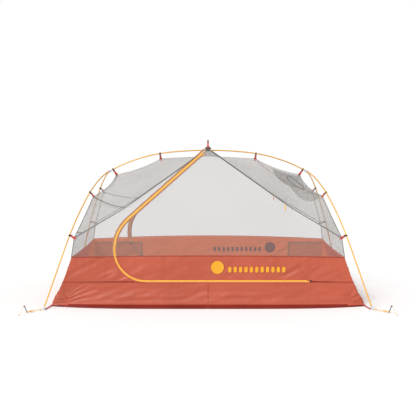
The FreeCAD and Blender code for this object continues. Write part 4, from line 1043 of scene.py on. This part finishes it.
def tub_seams():
    """Seams of the tub: along its top edge, between its bands and up the middle of the band."""
    pieces = []
    for side, _ in SIDES:
        crossing, fold = zip_point(tub_crossing(side)), fold_top(side)
        curves = [(tub_top(start, end, side), 0.007)
                  for start, end in ((-TUB_CORNER.x, crossing.x), (fold.x, TUB_CORNER.x))]
        curves += [(wall_line(Vector((start, BAND_HEIGHT)), Vector((end, BAND_HEIGHT))), 0.004)
                   for start, end in ((-BAND_CORNER.x, zip_point(ARC_END).x),
                                      (HINGE_FOOT.x, BAND_CORNER.x))]
        curves.append((lambda part: band_point(0.5, part), 0.006))
        pieces += [seam_strip(curve, WALL_OUT, width, RIGHT, side, "tub_dark")
                   for curve, width in curves]
    for x_side in (RIGHT, LEFT):
        for height in (TUB_HEIGHT, BAND_HEIGHT):
            pieces.append(seam_strip(
                lambda part, height=height: end_point(2 * part - 1, height),
                Vector((1, 0, END_LEAN)), 0.006, x_side, FRONT, "tub_dark"))
    settle(join("tub_seams", pieces))
    for door in SIDES:
        side, name = door
        edge = tub_top(zip_point(tub_crossing(side)).x, fold_top(side).x, side)
        top = seam_strip(edge, WALL_OUT, 0.007, RIGHT, side, "tub_dark", name + "_door_top_seam")
        settle(top, door=door)


# ---------------------------------------------------------------- zips

TOOTH_PITCH = 0.0042
COIL_HALF = 0.0058
TAPE_HALF = 0.0165
BACK_HALF = TAPE_HALF * 0.6
FRAME_ZIP_START, FRAME_ZIP_END = 0.004, 0.003
DOOR_ZIP_START, DOOR_ZIP_END = 0.020, 0.020


def coil_half(start, end, outside, side):
    """One half of a closed coil: a row of teeth whose heads reach the zip's middle line."""
    vertices, faces = [], []
    shift = 0.75 if outside > 0 else 0.25
    for number in range(int((end - start) / TOOTH_PITCH)):
        middle = start + (number + shift) * TOOTH_PITCH
        base = len(vertices)
        for distance, reach, heights in ((-0.42, COIL_HALF, (0.0012, 0.0022)),
                                         (-0.30, -0.0008, (0.0014, 0.0030)),
                                         (0.30, -0.0008, (0.0014, 0.0030)),
                                         (0.42, COIL_HALF, (0.0012, 0.0022))):
            place = zip_point(middle + distance * TOOTH_PITCH, outside * reach)
            vertices += [flip(on_wall(place, height), 1, side) for height in heights]
        faces += [[base + corner for corner in face]
                  for face in ((0, 2, 4, 6), (1, 7, 5, 3), (0, 1, 3, 2), (2, 3, 5, 4),
                               (4, 5, 7, 6), (6, 7, 1, 0))]
    return make_mesh("coil", vertices, faces, MATERIALS["coil"], smooth=False)


def zip_band(start, end, inner, outer, out, thickness, side, material):
    """Flat tape between two offsets from the zip's middle line."""
    count = max(8, int((end - start) / 0.012))
    points = [flip(on_wall(zip_point(lerp(start, end, number / count), (inner + outer) / 2), out),
                   1, side) for number in range(count + 1)]
    return strip("tape", points, [flip(WALL_OUT, 1, side)] * len(points), abs(outer - inner),
                 thickness, material)


def zips():
    """Tape and coil halves on the tent and on each door."""
    for door in SIDES:
        side, name = door
        crossing = tub_crossing(side)
        for on, outside, start, end in (
                ("frame", 1, FRAME_ZIP_START, ZIP_LENGTH - FRAME_ZIP_END),
                ("door", -1, DOOR_ZIP_START, ZIP_LENGTH - DOOR_ZIP_END)):
            coil, tape, back = outside * COIL_HALF, outside * TAPE_HALF, outside * BACK_HALF
            pieces = [zip_band(start, crossing, coil, tape, 0.0014, 0.0008, side, "tape"),
                      zip_band(crossing, end, coil, tape, 0.0014, 0.0008, side, "tub"),
                      zip_band(start, end, 0.0, coil, 0.0010, 0.0008, side, "coil"),
                      coil_half(start, end, outside, side),
                      zip_band(start, end, 0.0, back, -0.0014, 0.0006, side, "zip_back")]
            settle(join("%s_%s_zip_run" % (name, on), pieces), "%s_%s_zip" % (name, on),
                   door=door if on == "door" else None)


# ---------------------------------------------------------------- prints on the sill

PRINT_OFF_CLOTH, PRINT_THICKNESS = 0.0042, 0.0003
DISC_PLACE, DISC_RADIUS = Vector((0.065, 0.262)), 0.044
BARS, FIRST_BAR, BAR_PITCH = 11, 0.150, 0.037
BAR_LEVEL, BAR_WIDTH, BAR_HEIGHT = 0.247, 0.022, 0.040
PRINT_ENDS = 0.575


def bar(centre):
    """Outline of an upright bar with round ends."""
    radius = BAR_WIDTH / 2
    places = []
    for end, start in ((1, 0), (1, 90), (-1, 180), (-1, 270)):
        middle = centre + Vector((0, end * (BAR_HEIGHT / 2 - radius)))
        for step in range(5):
            angle = math.radians(start + 22.5 * step)
            places.append(middle + Vector((math.cos(angle), math.sin(angle))) * radius)
    return places


def flat_shape(places, out, side, material):
    """Thin closed plate with an outline on the wall."""
    count = len(places)
    vertices = [flip(on_wall(place, level), 1, side)
                for level in (out, out + math.copysign(PRINT_THICKNESS, out))
                for place in places]
    faces = [tuple(range(count)), tuple(range(2 * count - 1, count - 1, -1))]
    faces += [(number, number + count, (number + 1) % count + count, (number + 1) % count)
              for number in range(count)]
    return make_mesh("print", vertices, faces, MATERIALS[material], smooth=False)


def prints():
    """A plain disc and a row of bars where a printed mark would be."""
    for door in SIDES:
        side, name = door
        row = [DISC_PLACE.x] + [FIRST_BAR + number * BAR_PITCH for number in range(BARS)]
        if side == REAR:
            row = [PRINT_ENDS - across for across in row]
        outlines = [circle(40, Vector((row[0], DISC_PLACE.y)), Vector((DISC_RADIUS, 0)),
                           Vector((0, DISC_RADIUS)))]
        outlines += [bar(Vector((across, BAR_LEVEL))) for across in row[1:]]
        for out, material, label, slot in (
                (PRINT_OFF_CLOTH, "print", "outside", "outer_pull"),
                (-PRINT_OFF_CLOTH, "print_back", "inside", "patch")):
            pieces = [flat_shape(outline, out, side, material) for outline in outlines]
            settle(join("%s_door_print_%s" % (name, label), pieces), door=door)


# ---------------------------------------------------------------- webbing

TAB_WIDTHS = [0.004, 0.018, 0.021, 0.014, 0.010, 0.010, 0.010, 0.010, 0.010, 0.018]
TAB_TAIL = 0.022
STITCH_BOX = Vector((0.0035, 0.006))
STRAP_START = 0.060
KEEPER_BACK = 0.032


def islands(name):
    """Corner points of each separate solid of a CAD node."""
    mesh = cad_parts[name].data
    group = list(range(len(mesh.vertices)))

    def root(index):
        while group[index] != index:
            group[index] = group[group[index]]
            index = group[index]
        return index
    for edge in mesh.edges:
        group[root(edge.vertices[0])] = root(edge.vertices[1])
    first_at = {}
    for vertex in mesh.vertices:
        key = tuple(round(value, 6) for value in vertex.co)
        if key in first_at:
            group[root(vertex.index)] = root(first_at[key])
        first_at[key] = vertex.index
    found = {}
    for vertex in mesh.vertices:
        found.setdefault(root(vertex.index), []).append(vertex.co.copy())
    return list(found.values())


def stitches(points, normals, length, gap, width, material="print_back", shift=0.0):
    """Row of thread stitches along points, which are close together."""
    vertices, faces = [], []
    travelled, following = 0.0, gap / 2
    for start, end, normal in zip(points, points[1:], normals):
        run = (end - start).length
        along = (end - start) / max(run, 1e-9)
        sideways = along.cross(normal).normalized()
        while following < travelled + run:
            centre = start + along * (following - travelled) + sideways * shift
            base = len(vertices)
            for side, reach, height in ((-1, -1, 0), (1, -1, 0), (1, 1, 0), (-1, 1, 0),
                                        (-1, -0.6, 1), (1, -0.6, 1), (1, 0.6, 1), (-1, 0.6, 1)):
                vertices.append(centre + along * (reach * length / 2)
                                + sideways * (side * width / 2) + normal * (height * width))
            faces += [[base + corner for corner in face]
                      for face in ((3, 2, 1, 0), (4, 5, 6, 7), (0, 1, 5, 4), (1, 2, 6, 5),
                                   (2, 3, 7, 6), (3, 0, 4, 7))]
            following += length + gap
        travelled += run
    return make_mesh("stitches", vertices, faces, MATERIALS[material], smooth=False)


def webbing_tabs():
    """Webbing folded through each clip, sewn to the edge of the cloth, with a short tail."""
    lower = on_wall(LOWER_CLIP)
    places = {
        "ridge": ((RIDGE_CLIP, HUB_CLIP - RIDGE_CENTRE), (HUB_CLIP, HUB_CLIP - RIDGE_CLIP)),
        "leg": ((UPPER_CLIP, lower - HUB_CLIP), (lower, on_wall(TUB_CORNER) - UPPER_CLIP)),
    }
    for group, spots in places.items():
        pieces = []
        for island in islands(group + "_clips"):
            low = Vector([min(point[axis] for point in island) for axis in range(3)])
            high = Vector([max(point[axis] for point in island) for axis in range(3)])
            middle = (low + high) / 2
            x_side = RIGHT if middle.x > 0 else LEFT
            y_side = FRONT if middle.y < 0 or group == "ridge" else REAR
            cloth, along = min(
                ((flip(spot, x_side, y_side), flip(edge, x_side, y_side)) for spot, edge in spots),
                key=lambda pair: (pair[0] - middle).length)
            down = (cloth - middle).normalized()
            reach = max((point - middle).dot(down) for point in island)
            foot = [point for point in island if (point - middle).dot(down) > reach - 0.004]
            hook = sum(foot, Vector()) / len(foot) - down * 0.0030
            pieces += webbing_tab(hook, cloth, along.normalized())
        settle(join(group + "_webbing_tabs", pieces), group + "_tabs")


def webbing_tab(hook, cloth, along):
    """Band folded round a clip's bar: both layers run down to the cloth and a tail goes on."""
    down = (cloth - hook).normalized()
    out = down.cross(along).normalized()
    if out.dot(cloth + UP * 0.3) < 0:
        out = -out
    path = [cloth + down * TAB_TAIL - out * 0.002, cloth + down * 0.004 + out * 0.0010,
            cloth + out * 0.0013, lerp(cloth, hook, 0.5) + out * 0.0020, hook + out * 0.0026,
            hook + out * 0.0018 - down * 0.0020, hook - down * 0.0028,
            hook - out * 0.0018 - down * 0.0020, hook - out * 0.0026, cloth - out * 0.0002]
    normals = [out] * 5 + [out - down, -down, -out - down, -out, -out]
    band = strip("tab", path, normals, TAB_WIDTHS, 0.0010, "webbing")
    box = [cloth + along * (x_side * STITCH_BOX.x) + down * depth + out * 0.0017
           for x_side, depth in ((-1, -0.001), (1, -0.001), (1, STITCH_BOX.y), (-1, STITCH_BOX.y),
                                 (-1, -0.001), (1, STITCH_BOX.y))]
    return [band, stitches(box, [out] * len(box), 0.0015, 0.0006, 0.0004)]


def corner_webbing():
    """Strap from each floor corner to the pole's foot, with its stitches and keeper ring."""
    corner = Vector((FLOOR_HALF_LENGTH - 0.002, -FLOOR_HALF_WIDTH + 0.002, 0.0050))
    along = (POLE_FOOT - corner).normalized()
    across = along.cross(UP).normalized()
    path = [corner - along * STRAP_START + UP * 0.006, corner + UP * 0.0005,
            lerp(corner, POLE_FOOT, 0.3) - UP * 0.0020,
            lerp(corner, POLE_FOOT, 0.7) - UP * 0.0020, POLE_FOOT - along * 0.009]
    row = [lerp(path[1], path[2], part / 6) + UP * 0.0008 for part in range(7)]
    keeper = circle(24, POLE_FOOT - along * KEEPER_BACK - UP * 0.0020, across * 0.0095, UP * 0.0026)
    pieces = []
    for x_side, y_side in CORNERS:
        here, sewn, ring = ([flip(point, x_side, y_side) for point in points]
                            for points in (path, row, keeper))
        pieces.append(strip("strap", here, [UP] * len(here), 0.015, 0.0012, "webbing"))
        pieces += [stitches(sewn, [UP] * len(sewn), 0.002, 0.001, 0.0005, shift=shift)
                   for shift in (-0.0055, 0.0055)]
        pieces.append(tube("keeper", ring, 0.0011, "black", closed=True))
    settle(join("corner_webbing", pieces), "corner_straps")


# ---------------------------------------------------------------- peak, toggles and pulls

PEAK_LOOP_RADIUS = 0.0055
PEAK_LOOP_START, PEAK_LOOP_TURN = -70, 320
DIAMOND = ((0, -0.024), (0.023, 0), (0, 0.019), (-0.023, 0))
TOGGLE_PROFILE = [(0, 0.0022), (0.001, 0.0036), (0.003, 0.0040), (0.009, 0.0034),
                  (0.0105, 0.0022), (0.0135, 0.0022), (0.015, 0.0034), (0.021, 0.0040),
                  (0.023, 0.0036), (0.024, 0.0022)]
PIN_TO_TOP = 0.0029
PULL_LOOP_REACH, PULL_LOOP_HALF = 0.0085, 0.0019


def peak_pieces():
    """Webbing loop on each end of the cross pole and the stiff diamond under it."""
    loops, patches = [], []
    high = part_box("peak_straps")[1]
    ring = Vector((0, -(high.y - 0.0105), high.z - 0.0062))
    peak = on_wall(PEAK, 0.0022)
    path = [peak + WALL_UP * 0.006]
    for number in range(13):
        angle = math.radians(PEAK_LOOP_START + PEAK_LOOP_TURN * number / 12)
        path.append(ring + Vector((0, -math.cos(angle), math.sin(angle))) * PEAK_LOOP_RADIUS)
    path.append(peak + WALL_UP * 0.010 + WALL_OUT * 0.0002)
    normals = [WALL_OUT] + [(point - ring).normalized() for point in path[1:-1]] + [WALL_OUT]
    middle = Vector((0, PEAK.y + 0.003))
    corners = [middle + Vector(offset) for offset in DIAMOND]
    rim = [on_wall(lerp(middle, place, 0.86), 0.0014) for place in corners + corners[:1]]
    for side in (FRONT, REAR):
        here, facing, sewn = ([flip(point, 1, side) for point in points]
                              for points in (path, normals, rim))
        loops.append(strip("loop", here, facing, 0.011, 0.0011, "webbing"))
        patches.append(flat_shape(corners, 0.0010, side, "patch"))
        patches.append(stitches(sewn, [flip(WALL_OUT, 1, side)] * len(sewn), 0.0016, 0.0008,
                                0.0004, "elastic"))
    settle(join("peak_webbing_loops", loops), "peak_straps")
    settle(join("peak_diamonds", patches), "peak_patches")


def turned(name, profile, base, axis, material, sides=16):
    """Round piece turned from (distance along the axis, radius) pairs."""
    across = axis.orthogonal().normalized()
    other = axis.cross(across)
    rings = [circle(sides, base + axis * along, across * radius, other * radius)
             for along, radius in profile]
    return skin(name, rings, MATERIALS[material])


def toggles():
    """Toggle with a waist, held on a loop of cord, to tie the rolled door back."""
    pieces = []
    for side, material in ((FRONT, "pull"), (REAR, "knot")):
        top = flip(on_wall(TOGGLE, 0.0055), 1, side)
        down = flip(-WALL_UP, 1, side)
        pieces.append(turned("toggle", TOGGLE_PROFILE, top, down, material))
        loop = []
        for number in range(25):
            angle = math.pi * number / 24
            loop.append(top + down * (0.012 - 0.030 * math.sin(angle))
                        + Vector((0.0035 * math.cos(angle), 0, 0)))
        pieces.append(tube("loop", loop, 0.0009, material))
    settle(join("door_toggles", pieces), "tieback_toggles")


def zip_pulls():
    """Looped cord with a moulded end on each of the four slider pulls."""
    for side, name in SIDES:
        for place, material in (("outer", "pull"), ("inner", "red_pull")):
            node = "%s_%s_pull" % (name, place)
            low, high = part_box(node)
            lean = SIDE_LEAN if place == "outer" else 0.0
            down = flip(Vector((0, -lean, -1)).normalized(), 1, side)
            top = Vector(((low.x + high.x) / 2, (low.y + high.y) / 2, high.z - PIN_TO_TOP))
            if place == "outer":
                top.y = high.y - PIN_TO_TOP if side == FRONT else low.y + PIN_TO_TOP
            loop = circle(36, top + down * (PULL_LOOP_REACH - PULL_LOOP_HALF),
                          -down * PULL_LOOP_REACH, Vector((PULL_LOOP_HALF, 0, 0)))
            reach = high.z - low.z - PIN_TO_TOP - 0.0135
            profile = [(0, 0.0014), (0.0006, 0.0023), (0.004, 0.0027),
                       (reach - 0.0012, 0.0024), (reach - 0.0002, 0.0014)]
            piece = join(node + "_cord", [
                tube("loop", loop, 0.00085, material, closed=True),
                turned("end", profile, top + down * 0.0130, down, material)])
            settle(piece, node, body=node)


# ---------------------------------------------------------------- pockets

POCKET_RIDGE, POCKET_CLIP = Vector((0.70, 0.03, 0)), Vector((0.98, 0.49, 0))
POCKET_CURVE = bowed(POCKET_RIDGE, Vector((0.71, 0.60, 0)), POCKET_CLIP)
POCKET_HUB = Vector((POCKET_CLIP.x, POCKET_RIDGE.y, 0))
POCKET_EDGES = joined(line(POCKET_RIDGE, POCKET_HUB), line(POCKET_HUB, POCKET_CLIP))
LIP_LINE = bowed(Vector((0.50, 0.0, 0)), Vector((0.74, 0.34, 0)), Vector((1.0, 0.5, 0)))
RING_PLACE, RING_ACROSS, RING_DOWN = Vector((0.865, 0.25)), 0.058, 0.150
WALL_POCKETS = ((-0.930, -0.545), (0.660, 0.940))
WALL_POCKET_TOP, WALL_POCKET_FOOT = 0.305, 0.180


def pocket_lip(part):
    """Line sewn across the right roof panel, from the ridge clip to the upper leg clip."""
    return roof_point(LIP_LINE(part), 0.001)


def pocket_surface(across, down):
    """Ceiling pocket, from its deep curve to the ridge and leg edges of the roof panel."""
    return roof_point(lerp(POCKET_CURVE(down), POCKET_EDGES(down), across),
                      -0.0025 - 0.010 * hump(across, down))


def ceiling_pocket():
    """Pocket under the front right roof panel, its bound edge and a plain ring over it."""
    pocket = netting("ceiling_pocket_net", [pocket_surface], 24, 48, "ceiling_net")
    settle(pocket, "ceiling_pocket")
    rim = [pocket_surface(0.0, number / 48) for number in range(49)]
    ring = [roof_point(place, 0.0015)
            for place in circle(48, RING_PLACE, Vector((RING_ACROSS, 0)), Vector((0, RING_DOWN)),
                                ends=True)]
    edging = join("ceiling_pocket_binding", [
        strip("rim", rim, [UP] * len(rim), 0.005, 0.0012, "seam"),
        strip("ring", ring, [Vector((0, -0.3, 1))] * len(ring), 0.007, 0.0010, "pocket_ring")])
    settle(edging)


def wall_pockets():
    """Two flat netting pockets inside the rear tub wall, open along the top."""
    pieces, bindings = [], []
    for start, end in WALL_POCKETS:
        def surface(across, down, start=start, end=end):
            belly = 0.012 * hump(across, 0.15 + 0.85 * down)
            place = (lerp(start, end, across), lerp(WALL_POCKET_TOP, WALL_POCKET_FOOT, down))
            return flip(on_wall(place, -0.0065 - belly), 1, REAR)
        pieces.append(panel("pocket", [surface], 30, 14, "pocket_net"))
        top = [surface(number / 30, 0.0) for number in range(31)]
        side_line = [surface(1.0 if start < 0 else 0.0, number / 14) for number in range(15)]
        for edge in (top, side_line):
            bindings.append(strip("binding", edge, [flip(WALL_OUT, 1, REAR)] * len(edge), 0.005,
                                  0.0012, "seam"))
    pocket = join("wall_pocket_nets", pieces)
    settle(pocket, "wall_pockets")
    settle(join("wall_pocket_bindings", bindings))


# ---------------------------------------------------------------- camera, light and floor

STAGE_REACH, STAGE_LEVEL = 60.0, -0.0005
CAMERA_PLACE = (0.0, -6.8, 1.106)
CAMERA_DOWN = math.radians(4.02)
CAMERA_LENS, SENSOR_WIDTH = 78.34, 36.0
SUN_TOWARDS = Vector((0.45, 0.62, -0.75))
SUN_STRENGTH, SUN_WIDTH = 2.3, math.radians(24)
SKY_STRENGTH = 0.56
WHITE = (1, 1, 1, 1)


def clear_start_file():
    """Take away what a new Blender file starts with."""
    for name in ("Cube", "Light", "Camera"):
        piece = bpy.data.objects.get(name)
        if piece is not None:
            bpy.data.objects.remove(piece)


def stage():
    """Plain pale floor that the tent stands on."""
    material, _, shader = new_material("pale_floor")
    put(shader, {"Base Color": (0.97, 0.97, 0.97, 1), "Roughness": 0.9,
                 "Specular IOR Level": 0.1})
    corners = [(x * STAGE_REACH, y * STAGE_REACH, STAGE_LEVEL)
               for x, y in ((-1, -1), (1, -1), (1, 1), (-1, 1))]
    make_mesh("floor", corners, [(0, 1, 2, 3)], material, smooth=False)


def studio():
    """Soft white surroundings and one wide sun from behind the camera."""
    world = bpy.data.worlds.new("studio")
    world.use_nodes = True
    tree = world.node_tree
    soft = tree.nodes["Background"]
    put(soft, {"Color": WHITE, "Strength": SKY_STRENGTH})
    backdrop = add(tree, "Background", {"Color": WHITE})
    path = add(tree, "LightPath")
    mix = add(tree, "MixShader", links={0: path.outputs["Is Camera Ray"], 1: soft.outputs[0],
                                        2: backdrop.outputs[0]})
    tree.links.new(mix.outputs[0], tree.nodes["World Output"].inputs["Surface"])
    bpy.context.scene.world = world
    bpy.context.scene.view_settings.view_transform = "Standard"
    light = bpy.data.lights.new("key", "SUN")
    light.energy = SUN_STRENGTH
    light.angle = SUN_WIDTH
    lamp = add_object("key", light)
    lamp.rotation_euler = SUN_TOWARDS.to_track_quat("-Z", "Y").to_euler()


def camera():
    """Camera straight in front of the tent, looking a little down at it."""
    data = bpy.data.cameras.new("camera")
    data.lens = CAMERA_LENS
    data.sensor_width = SENSOR_WIDTH
    viewer = add_object("camera", data)
    viewer.location = CAMERA_PLACE
    viewer.rotation_euler = (math.pi / 2 - CAMERA_DOWN, 0, 0)
    bpy.context.scene.camera = viewer


clear_start_file()
stage()
studio()
camera()
cords()
finish_cad_nodes()
wall_netting()
doors()
tub_walls()
lower_band()
roof()
seams()
tub_seams()
zips()
prints()
webbing_tabs()
corner_webbing()
peak_pieces()
toggles()
zip_pulls()
ceiling_pocket()
wall_pockets()
